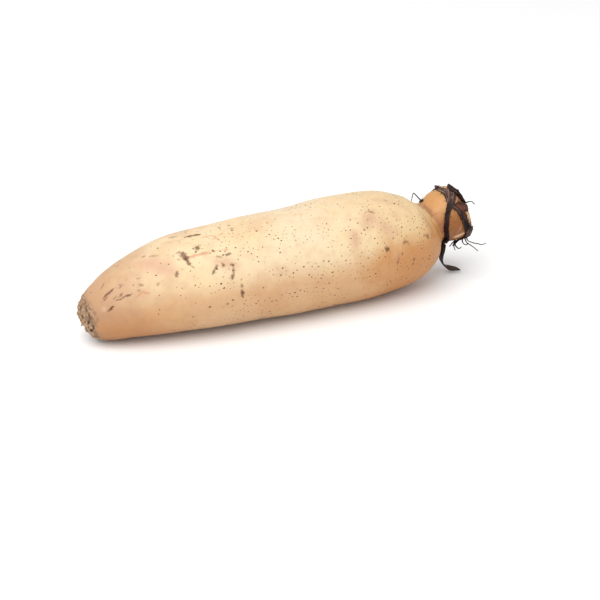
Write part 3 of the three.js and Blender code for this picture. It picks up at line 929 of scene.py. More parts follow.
class RootSettings(bpy.types.PropertyGroup):
    sides: IntProperty(
        name="Sides", description="Points round each ring of the skin", default=200, min=48, max=220,
    )
    seed: IntProperty(name="Seed", description="Changes the fill of the cut face", default=7, min=0)
    relief: share_property("Relief", "How much of the skin's fine relief is shown", 1.0)
    channel_depth: length_property(
        "Channel depth", "How deep the air channels go", 0.005, min=0.002, max=0.02,
    )
    cream: colour_property("Cream", "The skin in the middle of the root", (220, 199, 165))
    peach: colour_property("Peach", "The skin at its thick end", (216, 186, 138))
    tan: colour_property("Tan", "The skin towards the scar", (182, 143, 107))
    # Painted shade on the low side of the scar end, not the skin's own colour.
    scar_end_shade: colour_property("Scar end shade", "Painted shade low on the end beside the scar", (150, 108, 74))
    blush: colour_property("Blush", "Faint pinkish patches", (195, 155, 125))
    # Partly stain and partly painted shade low on the root.
    belly: colour_property("Belly", "Stain and painted shade on the skin close to the floor", (184, 118, 54))
    neck: colour_property("Neck", "The neck past the crease", (189, 137, 81))
    # Painted shade on the neck's front and underside.
    neck_shade: colour_property("Neck shade", "Painted shade on the neck's front and underside", (138, 84, 34))
    # The crease's reddish ring, partly its own colour and partly painted shade.
    crease: colour_property("Crease", "The reddish ring in the crease, deepened by painted shade", (157, 102, 66))
    dots: colour_property("Dots", "The faintest pores", (167, 129, 83))
    pink: colour_property("Pink scuffs", "The lighter scuffs", (182, 118, 91))
    pale: colour_property("Bare flesh", "Where the neck's skin is worn away", (206, 172, 130))
    dark: colour_property("Dark scuffs", "The dark scuffs", (92, 52, 21))
    scar: colour_property("Scar", "The torn skin round the scar", (161, 127, 96))
    scar_dark: colour_property("Scar wrinkles", "Its dark wrinkles", (84, 60, 42))
    torn: colour_property("Torn spots", "The dark spots where the scar is torn", (46, 32, 24))
    scar_pale: colour_property("Scar crests", "Its pale crests", (184, 152, 119))
    flesh: colour_property("Flesh", "The cut face", (211, 198, 173))
    # Painted shade at the bottom of the air channels.
    pore: colour_property("Channel", "Painted shade at the bottom of an air channel", (101, 70, 41))


class LOTUSROOT_OT_root(bpy.types.Operator):
    """Build the swollen root with its torn scar, its neck and the cut face with air channels"""

    bl_idname = "lotusroot.build_root"
    bl_label = "Root"

    def execute(self, context):
        settings = context.scene.lotusroot_root
        materials = [skin_material(settings), flesh_material(settings)]
        piece = add_object("whole_root", root_mesh(settings, materials))
        piece.data.set_sharp_from_angle(angle=SHARP_ANGLE)
        ride_as(piece, "root_skin", "root_body")
        return {"FINISHED"}


# Geometry Nodes

def geometry_group(name, maker, **inputs):
    """A geometry tree that ends with real geometry in its own finish."""
    def whole(given):
        real = node("GeometryNodeRealizeInstances", {"Geometry": maker(given)}).outputs[0]
        smooth = node("GeometryNodeSetShadeSmooth", {"Geometry": real}).outputs[0]
        finish = {"Geometry": smooth, "Material": given["Material"]}
        return node("GeometryNodeSetMaterial", finish).outputs[0]

    sockets = {"Geometry": "NodeSocketGeometry", **inputs, "Material": "NodeSocketMaterial"}
    return new_group(name, "GeometryNodeTree", ("Geometry", "NodeSocketGeometry"), whole, sockets)


def random_value(tree, low, high, seed):
    inputs = {"Min": low, "Max": high, "Seed": seed}
    made = node("FunctionNodeRandomValue", inputs, tree=tree, data_type="FLOAT")
    return next(o for o in made.outputs if o.enabled and o.type == "VALUE")


def grown(name, maker, tree, material, **inputs):
    """Runs the tree on the maker object, and keeps what it grows as one plain mesh object."""
    modifier = maker.modifiers.new(name, "NODES")
    modifier.node_group = tree
    sockets = {
        item.name: item.identifier
        for item in tree.interface.items_tree
        if item.item_type == "SOCKET" and item.in_out == "INPUT"
    }
    for label, value in {**inputs, "Material": material}.items():
        modifier[sockets[label.replace("_", " ")]] = value
    depsgraph = bpy.context.evaluated_depsgraph_get()
    mesh = bpy.data.meshes.new_from_object(maker.evaluated_get(depsgraph), depsgraph=depsgraph)
    maker.modifiers.remove(modifier)
    bpy.data.objects.remove(maker)
    if not mesh.polygons:
        raise RuntimeError(f"{name} came out empty")
    mesh.name = name
    mesh.materials.clear()
    mesh.materials.append(material)
    return add_object(name, mesh)


# Pores

STRETCH_SEED, TURN_SEED, TONE_SEED = 91, 17, 53


def strewn_specks(given):
    """Flat specks over a bed, each stretched and turned by chance and with a tone of its own."""
    tree = given["Geometry"].id_data
    share = node(
        "GeometryNodeInputNamedAttribute", {"Name": "pore_share"}, tree=tree, data_type="FLOAT",
    ).outputs[0]
    strewn = node(
        "GeometryNodeDistributePointsOnFaces",
        {
            "Mesh": given["Geometry"], "Distance Min": given["Spacing"], "Density Max": given["Density"],
            "Density Factor": share, "Seed": given["Seed"],
        },
        distribute_method="POISSON",
    ).outputs
    dot = node("GeometryNodeMeshIcoSphere", {"Radius": 1.0, "Subdivisions": 1}, tree=tree)
    chance = random_value(tree, 0.0, 1.0, given["Seed"])
    size = times(times_plus(power(chance, 4.0), 0.8, 0.75), given["Radius"])
    stretch = random_value(tree, 0.8, 1.7, STRETCH_SEED)
    instances = {
        "Points": strewn["Points"], "Instance": dot.outputs["Mesh"], "Rotation": strewn["Rotation"],
        "Scale": joined(times(size, stretch), size, times(size, given["Height"])),
    }
    put = node("GeometryNodeInstanceOnPoints", instances).outputs[0]
    turn = joined(0.0, 0.0, random_value(tree, -0.7, 0.7, TURN_SEED))
    turned = node("GeometryNodeRotateInstances", {"Instances": put, "Rotation": turn}).outputs[0]
    tone = {"Geometry": turned, "Name": "tone", "Value": random_value(tree, 0.0, 1.0, TONE_SEED)}
    toned = node("GeometryNodeStoreNamedAttribute", tone, data_type="FLOAT", domain="INSTANCE")
    return toned.outputs[0]


# The bed that they are strewn on: from where to where along the root, its rings and their sides,
# how far it lies under the skin, and how far above the floor it stays, in millimetres.
BED_ENDS = (6, 232)
BED_RINGS, BED_SIDES = 150, 120
BED_SUNK = 0.03
BED_ABOVE_FLOOR = 0.15


def pore_bed():
    """A plain copy of the skin that the pores are strewn on, with how thick they stand there."""
    places = np.linspace(*BED_ENDS, BED_RINGS)
    angles = np.linspace(0, 2 * math.pi, BED_SIDES, endpoint=False)
    x, angle = np.meshgrid(places, angles, indexing="ij")
    points = on_floor(skin_point(x, angle) - skin_normal(x, angle) * BED_SUNK)
    points[..., 2] = np.maximum(points[..., 2], ORIGIN[2] + BED_ABOVE_FLOOR)
    rows = smooth_step(x, 30, 95) * 0.82 + 0.18
    clusters = 0.72 + 0.6 * lumps(points, 13, 2.6) + 0.3 * lumps(points, 5, 1.1)
    share = np.clip(rows * np.clip(clusters, 0.2, 1), 0, 1) * (1 - 0.8 * smooth_step(x, 224, 232))
    faces = [corners for _, _, corners in ring_quads(0, len(places), len(angles))]
    mesh = bpy.data.meshes.new("pore_bed")
    mesh.from_pydata(((points.reshape(-1, 3) - ORIGIN) * MM).tolist(), [], faces)
    attribute = mesh.attributes.new("pore_share", "FLOAT", "POINT")
    attribute.data.foreach_set("value", share.astype(np.float32).ravel())
    return add_object("pore_bed", mesh)


def pore_material(settings):
    material, tree = new_material("Pores")
    place = object_place(tree)
    tone = point_mask(tree, "tone")
    fine = effect("Mottle", Vector=place, Size=0.0005, Softness=0.3)
    tone = times(power(tone, 0.8), fade(split(place)["X"], 0.085, 0.03, 0.25, 1.0))
    colour = blended(tone, settings.dark, settings.pale)
    colour = coated(colour, settings.dark, fine, 0.25)
    roughness = times_plus(fine, 0.2, 0.55)
    return finished(material, colour, roughness, fine, PORE_RELIEF)


class PoreSettings(bpy.types.PropertyGroup):
    spacing: length_property("Spacing", "The least distance between two pores", 0.0022, min=0.0005, max=0.02)
    density: FloatProperty(
        name="Density", description="The most pores in a square metre", default=240000.0, min=0.0,
    )
    radius: length_property("Radius", "A middling pore's radius", 0.0004, min=0.0001, max=0.003)
    height: share_property("Height", "How far a pore stands up, as a share of its radius", 0.22)
    seed: IntProperty(name="Seed", description="Changes where the pores stand", default=5, min=0)
    dark: colour_property("Dark pores", "The darkest pores", (72, 46, 23))
    pale: colour_property("Pale pores", "The palest pores", (144, 106, 65))


class LOTUSROOT_OT_pores(bpy.types.Operator):
    """Strew the small brown pores over the skin"""

    bl_idname = "lotusroot.build_pores"
    bl_label = "Pores"

    def execute(self, context):
        settings = context.scene.lotusroot_pores
        tree = geometry_group(
            "Strewn pores", strewn_specks, Spacing=0.0016, Density=30000.0, Radius=0.0004,
            Height=0.3, Seed=1,
        )
        piece = grown(
            "skin_pores", pore_bed(), tree, pore_material(settings), Spacing=settings.spacing,
            Density=settings.density, Radius=settings.radius, Height=settings.height,
            Seed=settings.seed,
        )
        ride_as(piece, "root_skin")
        return {"FINISHED"}


# The dried sheath

SHEATH_GAP = 0.16
SHEATH_THICK = 0.9
RIM_CLEARANCE = 0.2
ACROSS = 13

# Each strap runs through knots of distance along the root, degrees round it and half its width.
# 0 degrees faces the front and 90 is up. One share is how pale it is at each end: partly weathering
# and partly a painted highlight, higher where the strap lies on top, towards the light. "ruddy" is how
# reddish.
STRAPS = [
    {"steps": 26, "dry": (0.95, -0.5), "knots": [
        (254.7, 88, 1.4), (254, 77, 2.3), (252.6, 64, 2.6), (249.4, 53, 2.2), (246.2, 43, 1.9),
        (243, 32, 1.6), (240.2, 15, 1.45), (238.5, -5, 1.45), (238.4, -24, 1.5), (238.7, -38, 1.45),
        (239.3, -48, 1.3)]},
    {"steps": 11, "thick": 0.8, "dry": (0.7, 1.0), "knots": [
        (251.8, 124, 0.6), (251.4, 112, 1.2), (250.9, 98, 1.7), (250.7, 84, 1.8), (250.1, 73, 1.7),
        (248.6, 61, 1.3), (247, 53, 1)]},
    {"steps": 3, "thick": 2.3, "dry": (0.4, 0.4), "knots": [
        (251.2, 125, 0.5), (251.6, 120, 0.8), (252, 114, 0.5)]},
    {"steps": 12, "dry": (0.4, 0.0), "knots": [
        (248, 44, 1.5), (250, 35, 1.9), (250.7, 22, 2), (250.9, 8, 1.9), (251.2, -6, 2), (252, -18, 2.1),
        (252.6, -28, 2.1)]},
    {"steps": 5, "thick": 1.9, "dry": (0.45, 0.3), "ruddy": 1.0, "knots": [
        (250.4, 43, 1.2), (252.3, 36, 2.2), (253.7, 28, 2.2), (254.4, 19, 1.2)]},
    {"steps": 9, "thick": 3.0, "dry": (0.25, 0.0), "knots": [
        (255, 93, 0.7), (254.6, 84, 1.2), (254.4, 74, 1.4), (254.7, 64, 1.2), (255.1, 54, 0.9),
        (255.2, 44, 0.8), (255.2, 34, 0.7)]},
    {"steps": 5, "thick": 1.9, "dry": (0.1, 0.55), "knots": [
        (252.6, -12, 1.3), (253, -22, 2.4), (252.6, -34, 2.3), (252, -44, 1.2)]},
    {"steps": 6, "dry": (0.1, 0.0), "knots": [
        (252.4, -40, 1.5), (250, -51, 1.2), (247.4, -57, 1.1), (244.6, -63, 0.9)]},
    {"steps": 10, "dry": (0.1, 0.2), "knots": [
        (252.4, -44, 1.5), (252, -68, 1.3), (250.8, -92, 1.5), (250.4, -112, 1.2), (251.4, -136, 1.4),
        (252.6, -158, 1.3)]},
    {"steps": 14, "dry": (0.3, 0.7), "knots": [
        (252.6, -154, 1.6), (252, -174, 2.6), (250.9, -196, 3), (252, -210, 2.4), (253.3, -221, 1.6),
        (254.2, -229, 0.9)]},
    {"steps": 10, "dry": (0.5, 0.3), "knots": [
        (251, 172, 2.2), (248, 166, 1.7), (244.4, 156, 1.5), (241.6, 144, 1.3), (239.8, 132, 1.1),
        (238.9, 120, 1), (238.7, 110, 0.9)]},
]

# The strand that hangs from the band and ends in a little blade: where it leaves the band, half
# its width there, how flat and how thin at least it is, and its knots of distance along, sideways,
# up and half its width. It is mapped as this wide a strip, and its blade starts at these lengths
# along it.
STRAND_FROM = (239, -38)
STRAND_START = 1.5
STRAND_FLAT = 0.45
STRAND_LEAST = 0.42
STRAND_SIDES = 20
STRAND_ROWS = 121
STRAND_WIDE = 2.6
BLADE_FROM = (30, 36)
STRAND = [
    (239.7, -10.3, 29.6, 1.9), (240.1, -8.6, 26.2, 2.1), (240.7, -5.8, 21.2, 2.1),
    (242.1, -2.3, 16, 2), (246, 2.6, 9.4, 1.7), (250.1, 4.4, 4.9, 2), (253.4, 3.8, 3.3, 2.8),
    (257, 2.5, 2.5, 2.1), (259.8, 0.2, 1.8, 0.5),
]
TOWARDS_FRONT = np.array([0.25, -0.35, 0.9])


def add_loft(plan, rings, lengths, width, **masks):
    """Closes rings of points into one skin, mapped as a strip of length and width in millimetres."""
    count = len(rings[0])
    numbered = plan.add_points(np.vstack(rings), **{k: np.repeat(v, count) for k, v in masks.items()})
    centre = [rings[0].mean(axis=0), rings[-1].mean(axis=0)]
    tips = [
        plan.add_points([point], **{k: v[end] for k, v in masks.items()})
        for point, end in zip(centre, (0, -1))
    ]
    volume = 0.0
    for row in (len(rings) // 2, len(rings) // 3):
        middle = rings[row].mean(axis=0)
        heading = rings[row + 1].mean(axis=0) - middle
        edges = np.cross(rings[row] - middle, np.roll(rings[row], -1, axis=0) - middle)
        volume += float(edges.sum(axis=0) @ heading)
    outwards = volume > 0

    def face(corners, places):
        plan.add_face(corners if outwards else corners[::-1], places if outwards else places[::-1])

    v = np.linspace(0, 2 * width, count + 1) * MM
    u = np.asarray(lengths) * MM
    for side in range(count):
        following = (side + 1) % count
        for row in range(len(rings) - 1):
            a, b = numbered + row * count + side, numbered + row * count + following
            (start, end), (here, further) = u[row:row + 2], v[side:side + 2]
            places = ((start, here), (start, further), (end, further), (end, here))
            face((a, b, b + count, a + count), places)
        last = numbered + (len(rings) - 1) * count
        face((tips[0], numbered + following, numbered + side), ((u[0], v[side]),) * 3)
        face((tips[1], last + side, last + following), ((u[-1], v[side]),) * 3)


def add_strap(plan, strap, index):
    """A strap of dried sheath: fibrous ridges along it, thin ragged edges, close to the skin."""
    knots = np.array(strap["knots"], float)
    knots[:, 1] = np.radians(knots[:, 1])
    steps = strap["steps"] * 6
    route = curve_through(knots, steps + 1)
    tangent = np.gradient(route, axis=0)
    radius = radius_at(route[:, 0])
    heading = unit(np.stack([tangent[:, 0], tangent[:, 1] * radius], axis=-1))
    steps_taken = np.hypot(np.diff(route[:, 0]), np.diff(route[:, 1]) * radius[1:])
    walked = np.concatenate([[0], np.cumsum(steps_taken)])
    side = np.linspace(-1, 1, ACROSS)
    thick = strap.get("thick", SHEATH_THICK)
    seed = 3.7 * index
    rings = []
    for row in range(steps + 1):
        x0, a0, half = route[row]
        at = np.stack([np.full(ACROSS, walked[row]), side * 3, np.full(ACROSS, seed)], axis=-1)
        ragged = 1 + 0.2 * lumps(at * [1, 0.2, 1], 2.6, 0.3) + 0.16 * lumps(at * [1, 0.4, 1], 0.9, 4.0)
        closing = min(1, 0.35 + walked[row] / 1.5, 0.35 + (walked[-1] - walked[row]) / 1.5)
        offset = side * half * ragged * closing
        x = np.minimum(x0 - offset * heading[row, 1], NECK_END - RIM_CLEARANCE)
        angle = a0 + offset * heading[row, 0] / radius[row]
        fibres = 0.6 * ridges(at * [0.12, half * 0.6, 1], 1.0, 1.9)
        fibres = fibres + 0.25 * lumps(at * [0.4, 1, 1], 1.3, 6.0)
        crown = np.sqrt(np.clip(1 - 0.85 * side**2, 0, 1))
        crumpled = 1 + 0.5 * lumps(at * [0.8, 0.35, 1], 1.8, 7.0)
        fibrous = (0.5 + 0.25 * thick) * fibres * (0.4 + 0.6 * crown)
        over = thick * crumpled * (0.28 + 0.45 * crown) + fibrous + SHEATH_GAP
        under = np.full(ACROSS, SHEATH_GAP)
        rings.append(np.vstack([
            above_skin(x, angle, under), above_skin(x, angle, np.maximum(over, under + 0.22))[::-1],
        ]))
    # How pale each end is: partly weathering, partly painted highlight on the strap's top.
    dry = np.linspace(*strap["dry"], steps + 1)
    ruddy = np.full(steps + 1, strap.get("ruddy", 0.0))
    add_loft(plan, rings, walked, 2 * knots[:, 2].mean(), dry=dry, ruddy=ruddy)


def add_strand(plan):
    """The hanging strand with a raised middle rib, and its pointed blade."""
    x, degrees = STRAND_FROM
    start = above_skin(x, math.radians(degrees), SHEATH_GAP + SHEATH_THICK / 2)
    route = curve_through([(*start, STRAND_START), *STRAND], STRAND_ROWS)
    middle, half = route[:, :3], route[:, 3]
    along = unit(np.gradient(middle, axis=0))
    wide = unit(np.cross(TOWARDS_FRONT, along))
    deep = np.cross(along, wide)
    walked = np.concatenate([[0], np.cumsum(np.linalg.norm(np.diff(middle, axis=0), axis=1))])
    turn = np.linspace(0, 2 * math.pi, STRAND_SIDES, endpoint=False)
    rings = []
    for row in range(len(route)):
        at = np.stack([np.full(STRAND_SIDES, walked[row]), 3 * np.cos(turn), 3 * np.sin(turn)], axis=-1)
        fibres = 1 + 0.16 * lumps(at * [0.25, 1, 1], 1.2, 5.0) + 0.08 * lumps(at, 1.4, 2.0)
        closing = min(1, 0.25 + (walked[-1] - walked[row]) / 2)
        across = half[row] * fibres * np.cos(turn) * closing
        thick = max(half[row] * STRAND_FLAT, STRAND_LEAST)
        if half[row] > STRAND_START:
            thick = STRAND_LEAST + (thick - STRAND_LEAST) * 0.4
        through = thick * fibres * np.sin(turn) * closing
        rings.append(middle[row] + across[:, None] * wide[row] + through[:, None] * deep[row])
    blade = smooth_step(walked, *BLADE_FROM)
    add_loft(plan, rings, walked, STRAND_WIDE, dry=np.linspace(0.0, 0.2, len(route)), blade=blade)


def sheath_material(name, settings, strip_map=True):
    """Dark fibres, paler where weathering has bleached them and where a painted highlight lies on the top of
    the band, and reddish in one crumpled part.
    """
    material, tree = new_material(name)
    place = object_place(tree)
    strip = strip_place(tree, "Fibre strip") if strip_map else place
    dry = point_mask(tree, "dry")
    blade = point_mask(tree, "blade")
    fibres = effect("Dry fibres", Strip=strip, Width=0.0008, Length=0.012)
    worn = effect("Mottle", Vector=place, Size=0.0035, Softness=0.18)
    fine = effect("Mottle", Vector=place, Size=0.0006, Softness=0.3)
    dark = blended(fibres, settings.dark, settings.brown)
    dark = coated(dark, settings.blade, blade)
    pale = blended(fibres, settings.brown, settings.pale_and_highlit)
    # Painted highlight and weathering: paler where the share is high, mostly on the straps' tops.
    share = held(times(dry, times_plus(worn, 0.5, 0.62)))
    colour = blended(share, dark, pale)
    ruddy = times(point_mask(tree, "ruddy"), times_plus(fibres, 0.9, 0.05))
    colour = coated(colour, settings.ruddy, ruddy)
    colour = coated(colour, settings.dark, fine, 0.35)
    roughness = times_plus(fibres, 0.2, 0.42)
    height = times_plus(fine, 0.3, fibres)
    return finished(material, colour, roughness, height, SHEATH_RELIEF, Specular_IOR_Level=0.2)


class SheathSettings(bpy.types.PropertyGroup):
    dark: colour_property("Dark", "The darkest fibres", (6, 3, 2))
    brown: colour_property("Brown", "The brown fibres", (55, 23, 17))
    # Partly weathering, partly painted highlight on the band's top.
    pale_and_highlit: colour_property("Pale and highlit", "The palest fibres: weathering and a painted highlight", (168, 137, 122))
    ruddy: colour_property("Ruddy", "The reddish, crumpled part", (112, 62, 46))
    blade: colour_property("Blade", "The blade at the strand's end", (37, 18, 14))


class LOTUSROOT_OT_sheath(bpy.types.Operator):
    """Build the dried leaf sheath that clings to the neck, and the strand that hangs from it"""

    bl_idname = "lotusroot.build_sheath"
    bl_label = "Dried sheath"

    def execute(self, context):
        plan = MeshPlan()
        for index, strap in enumerate(STRAPS):
            add_strap(plan, strap, index)
        add_strand(plan)
        material = sheath_material("Dried sheath", context.scene.lotusroot_sheath)
        piece = add_object("dried_sheath", plan.build("dried_sheath", [material], "Fibre strip"))
        ride_as(piece, "dried_sheath", "node_sheath")
        return {"FINISHED"}


# Rootlets

# Each starts in the sheath at (distance along, degrees round) and runs through knots of distance
# along, sideways, up and half its width.
ROOTLETS = [
    ((238.8, 116), [
        (227.5, 5.5, 57.8, 0.5), (224.2, 5.5, 61.5, 0.42), (223.2, 5.5, 58.9, 0.4),
        (222.6, 5.5, 56.2, 0.36)]),
    ((255, 36), [(257.9, -11.6, 56, 0.4), (260.7, -11.6, 53.8, 0.45)]),
    ((253.4, -30), [(258, -13.2, 35.8, 0.42), (260, -12.5, 36.6, 0.36)]),
    ((247.6, -56), [
        (250.3, -6.5, 25.6, 0.6), (251.2, -6.5, 23.3, 0.55), (253.4, -6.5, 21.4, 0.45),
        (255.2, -6.5, 22.2, 0.4)]),
    ((246, -59), [(248.7, -6, 24, 0.55)]),
    ((244.8, -62), [(246.7, -5, 23.3, 0.4)]),
    ((249.6, -52), [(256, -7, 25.1, 0.45), (258.4, -7, 23.4, 0.42), (260.3, -7, 24.5, 0.36)]),
    ((251.8, -45), [
        (259.2, -8, 26.8, 0.42), (262.8, -8, 24.7, 0.4), (267.9, -8, 22.7, 0.4), (270.3, -8, 21.9, 0.38),
        (273.4, -8, 22.5, 0.36)]),
    ((251, -50), [(258.8, -7.5, 25.1, 0.45), (262.8, -7.5, 22, 0.42), (267.7, -7.5, 17.5, 0.36)]),
    ((251, -92), [(252.6, -1, 21.6, 0.45), (253.6, -1.6, 18.4, 0.4)]),
    ((250.6, -110), [(253, 12, 22.4, 0.45), (256.4, 13.6, 21.6, 0.4)]),
    ((252, -146), [(256, 21, 31, 0.45), (259, 23, 30.2, 0.4)]),
    ((251.4, -186), [(252, 25.6, 42.4, 0.45), (252.6, 28.4, 39, 0.4), (251.8, 30, 38.4, 0.36)]),
]
ROOTLET_ROOT = 0.6
ROOTLET_SLIMMER = 0.9
ROOTLET_TAPER = 0.75
POINTS_A_KNOT = 12
LINE_STEP = 0.0004

# Loose fibres, in millimetres: how long they are, half their width at the root and how much of it
# is gone at the tip. Their lean is a slope along the strap, and FRAY_ROWS are a strap's places.
FRAY_LENGTH = (0.8, 2.6)
FRAY_HALF = 0.11
FRAY_TAPER = 0.55
FRAY_LEAN = 1.2
FRAY_ROWS = 60
FRAY_POINTS = 7
FRAY_WAVER = 0.4


def wavering_tubes(given):
    """Thin round tubes along curves that waver a little, as thick as the curves' radius says."""
    tree = given["Geometry"].id_data
    steps = {"Curve": given["Geometry"], "Length": given["Step"]}
    even = node("GeometryNodeResampleCurve", steps, mode="LENGTH").outputs[0]
    place = node("GeometryNodeInputPosition", tree=tree).outputs[0]
    pattern = node(
        "ShaderNodeTexNoise", {"Vector": place, "W": given["Seed"], "Scale": 420.0, "Detail": 2.0},
        noise_dimensions="4D",
    ).outputs["Color"]
    centred = vector_maths("SUBTRACT", pattern, (0.5, 0.5, 0.5))
    moved = {"Geometry": even, "Offset": stretched(centred, given["Waver"])}
    bent = node("GeometryNodeSetPosition", moved).outputs[0]
    circle = {"Radius": 1.0, "Resolution": 8}
    ring = node("GeometryNodeCurvePrimitiveCircle", circle, tree=tree, mode="RADIUS").outputs[0]
    tube = {
        "Curve": bent, "Profile Curve": ring, "Fill Caps": True,
        "Scale": node("GeometryNodeInputRadius", tree=tree).outputs[0],
    }
    return node("GeometryNodeCurveToMesh", tube).outputs[0]


def lines_object(name, routes):
    """One curve object with a line for each route of places and half widths."""
    curve = bpy.data.curves.new(name, "CURVE")
    curve.dimensions = "3D"
    for route in routes:
        spline = curve.splines.new("POLY")
        spline.points.add(len(route) - 1)
        for point, (x, y, z, half) in zip(spline.points, route):
            point.co = (*((np.array([x, y, z]) - ORIGIN) * MM), 1.0)
            point.radius = half * MM
    return add_object(name, curve)


def rootlet_routes():
    for (x, degrees), knots in ROOTLETS:
        start = above_skin(x, math.radians(degrees), SHEATH_GAP + SHEATH_THICK / 2)
        route = curve_through([(*start, ROOTLET_ROOT), *knots], POINTS_A_KNOT * len(knots) + 1)
        route[:, 3] *= ROOTLET_SLIMMER * np.linspace(1, ROOTLET_TAPER, len(route))
        yield route


class RootletSettings(bpy.types.PropertyGroup):
    waver: length_property(
        "Waver", "How far a rootlet strays from a smooth line", 0.0007, min=0.0, max=0.003,
    )
    seed: FloatProperty(name="Seed", description="Changes how the rootlets waver", default=2.0)
    fibre_count: IntProperty(
        name="Loose fibres", description="Fine fibres that stand off the sheath", default=240,
        min=0, max=600,
    )
    fibre_seed: IntProperty(name="Fibre seed", description="Changes the loose fibres", default=11, min=0)


def loose_fibre_routes(settings):
    """Fine frayed fibres that leave the edges of the straps."""
    random = np.random.default_rng(settings.fibre_seed)
    routes = [curve_through(strap["knots"], FRAY_ROWS) for strap in STRAPS]
    for _ in range(settings.fibre_count):
        route = routes[random.integers(len(routes))]
        row = random.integers(1, FRAY_ROWS - 2)
        x, degrees, half = route[row]
        turn = math.radians(degrees)
        radius = float(radius_at(x))
        tangent = route[row + 1] - route[row - 1]
        heading = unit(np.array([tangent[0], math.radians(tangent[1]) * radius]))
        edge = random.choice([-1, 1])
        step = edge * half * 0.8
        start_x = min(x - step * heading[1], NECK_END - 0.4)
        start_turn = turn + step * heading[0] / radius
        lean = random.uniform(-FRAY_LEAN, FRAY_LEAN)
        side = edge * np.array([-heading[1], heading[0]])
        way = unit(side + lean * heading)
        length = random.uniform(*FRAY_LENGTH)
        knots = []
        for share, lift in zip((0, 0.35, 0.7, 1), (0.3, 0.5, 0.8, 1.0 + random.uniform(-0.5, 0.9))):
            at_x = min(start_x + way[0] * length * share, NECK_END + 1.2)
            at_turn = start_turn + way[1] * length * share / radius
            point = above_skin(min(at_x, NECK_END), at_turn, lift)
            point = point + np.array([max(0.0, at_x - NECK_END), 0, 0])
            knots.append((*point, FRAY_HALF * (1 - FRAY_TAPER * share)))
        yield curve_through(knots, FRAY_POINTS)


class LOTUSROOT_OT_rootlets(bpy.types.Operator):
    """Grow the dried rootlets and the loose fibres of the sheath"""

    bl_idname = "lotusroot.build_rootlets"
    bl_label = "Rootlets"

    def execute(self, context):
        settings = context.scene.lotusroot_rootlets
        material = sheath_material("Dried rootlets", context.scene.lotusroot_sheath, strip_map=False)
        tree = geometry_group("Rootlets", wavering_tubes, Step=0.0004, Waver=0.0002, Seed=1.0)
        pieces = [("rootlets", rootlet_routes(), settings.waver)]
        if settings.fibre_count:
            pieces.append(("loose_fibres", loose_fibre_routes(settings), settings.waver * FRAY_WAVER))
        for name, routes, waver in pieces:
            lines = lines_object(name + "_lines", routes)
            piece = grown(name, lines, tree, material, Step=LINE_STEP, Waver=waver, Seed=settings.seed)
            ride_as(piece, "dried_sheath")
        return {"FINISHED"}


# The stage

class StageSettings(bpy.types.PropertyGroup):
    floor_width: length_property("Floor width", "The width of the square floor", 6.0, min=0.5, max=20.0)
    floor: colour_property("Floor", "The plain pale floor", (236, 236, 236))
    surround: FloatProperty(
        name="Surround", description="Strength of the white surround", default=0.8, min=0.0,
    )
    key_power: FloatProperty(
        name="Key light", description="Power of the big soft light above", default=58.0,
        min=0.0, unit="POWER",
    )
    front_power: FloatProperty(
        name="Front light", description="Power of the soft light in front", default=2.1,
        min=0.0, unit="POWER",
    )
    azimuth: FloatProperty(
        name="Azimuth", description="The camera's direction round the root", default=math.radians(-25),
        subtype="ANGLE",
    )
    elevation: FloatProperty(
        name="Elevation", description="The camera's angle above the floor", default=math.radians(24.5),
        subtype="ANGLE",
    )
    distance: length_property("Distance", "How far the camera stands from its target", 1.0, min=0.2, max=5.0)
    lens: FloatProperty(
        name="Focal length", description="The camera's focal length", default=95.0, min=20.0, max=300.0,
        unit="CAMERA",
    )


TARGET = Vector((-0.0036, -0.0207, 0.0136))
SENSOR_WIDTH = 36.0
FLOOR_DROP = 0.0002
# Each light: its place, what it is aimed at and its width.
KEY_LIGHT = ((-1.1, -0.8, 2.2), (0, 0, 0.03), 2.6)
FRONT_LIGHT = ((-1.1, -0.9, 0.5), (0, 0, 0.03), 0.7)


def add_area_light(name, place, aim, size, power):
    light = bpy.data.lights.new(name, "AREA")
    light.shape = "DISK"
    light.size = size
    light.energy = power
    made = add_object(name, light)
    made.location = place
    made.rotation_euler = (Vector(aim) - Vector(place)).to_track_quat("-Z", "Y").to_euler()


def floor_material(settings):
    material, tree = new_material("Pale floor")
    fine = effect("Mottle", Vector=object_place(tree), Size=0.3, Softness=0.4)
    colour = blended(times(fine, 0.05), settings.floor, (0.74, 0.74, 0.74))
    roughness = times_plus(fine, 0.1, 0.85)
    return finished(material, colour, roughness, fine, FLOOR_RELIEF, Specular_IOR_Level=0.1)


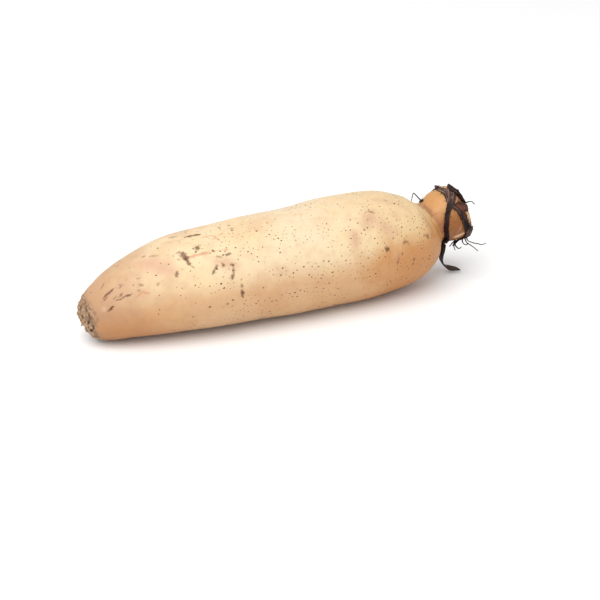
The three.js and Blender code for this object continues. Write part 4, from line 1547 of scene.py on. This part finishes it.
class LOTUSROOT_OT_stage(bpy.types.Operator):
    """Set the plain floor, the soft studio lights and the camera"""

    bl_idname = "lotusroot.build_stage"
    bl_label = "Stage"

    def execute(self, context):
        settings = context.scene.lotusroot_stage
        scene = context.scene
        half = settings.floor_width / 2
        mesh = bpy.data.meshes.new("floor")
        corners = [(-half, -half), (half, -half), (half, half), (-half, half)]
        mesh.from_pydata([(x, y, -FLOOR_DROP) for x, y in corners], [], [(0, 1, 2, 3)])
        mesh.materials.append(floor_material(settings))
        add_object("floor", mesh)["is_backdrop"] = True

        world = bpy.data.worlds.new("Plain surround")
        world.use_nodes = True
        background = world.node_tree.nodes["Background"]
        background.inputs["Color"].default_value = (1, 1, 1, 1)
        background.inputs["Strength"].default_value = settings.surround
        scene.world = world
        add_area_light("key_light", *KEY_LIGHT, settings.key_power)
        add_area_light("front_light", *FRONT_LIGHT, settings.front_power)

        camera = bpy.data.cameras.new("camera")
        camera.lens = settings.lens
        camera.sensor_width = SENSOR_WIDTH
        camera.clip_start = 0.05
        camera.clip_end = 20.0
        viewer = add_object("camera", camera)
        level = math.cos(settings.elevation)
        back = Vector((
            math.sin(settings.azimuth) * level, -math.cos(settings.azimuth) * level,
            math.sin(settings.elevation),
        ))
        viewer.location = TARGET + back * settings.distance
        viewer.rotation_euler = (-back).to_track_quat("-Z", "Y").to_euler()
        scene.camera = viewer
        scene.view_settings.view_transform = "Standard"
        return {"FINISHED"}


class LOTUSROOT_PT_panel(bpy.types.Panel):
    """The root's pieces and their settings"""

    bl_label = "Lotus root"
    bl_idname = "LOTUSROOT_PT_panel"
    bl_space_type = "VIEW_3D"
    bl_region_type = "UI"
    bl_category = "Lotus root"

    def draw(self, context):
        for operator, _, name in STEPS:
            box = self.layout.box()
            box.operator(operator.bl_idname)
            settings = getattr(context.scene, name, None)
            if settings is not None:
                for label in settings.__annotations__:
                    box.prop(settings, label)


STEPS = [
    (LOTUSROOT_OT_root, RootSettings, "lotusroot_root"),
    (LOTUSROOT_OT_pores, PoreSettings, "lotusroot_pores"),
    (LOTUSROOT_OT_sheath, SheathSettings, "lotusroot_sheath"),
    (LOTUSROOT_OT_rootlets, RootletSettings, "lotusroot_rootlets"),
    (LOTUSROOT_OT_stage, StageSettings, "lotusroot_stage"),
]
CLASSES = [settings for _, settings, _ in STEPS] + [operator for operator, _, _ in STEPS]
CLASSES.append(LOTUSROOT_PT_panel)


def register():
    for cls in CLASSES:
        bpy.utils.register_class(cls)
    for _, settings, name in STEPS:
        setattr(bpy.types.Scene, name, PointerProperty(type=settings))


def unregister():
    for _, _, name in STEPS:
        delattr(bpy.types.Scene, name)
    for cls in reversed(CLASSES):
        bpy.utils.unregister_class(cls)


def main():
    register()
    bpy.ops.lotusroot.build_root()
    bpy.ops.lotusroot.build_pores()
    bpy.ops.lotusroot.build_sheath()
    bpy.ops.lotusroot.build_rootlets()
    bpy.ops.lotusroot.build_stage()
    sizes = {"cad": CAD_BOX, "visual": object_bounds()}
    {name: [list(corner) for corner in box] for name, box in sizes.items()}


if __name__ == "__main__":
    main()
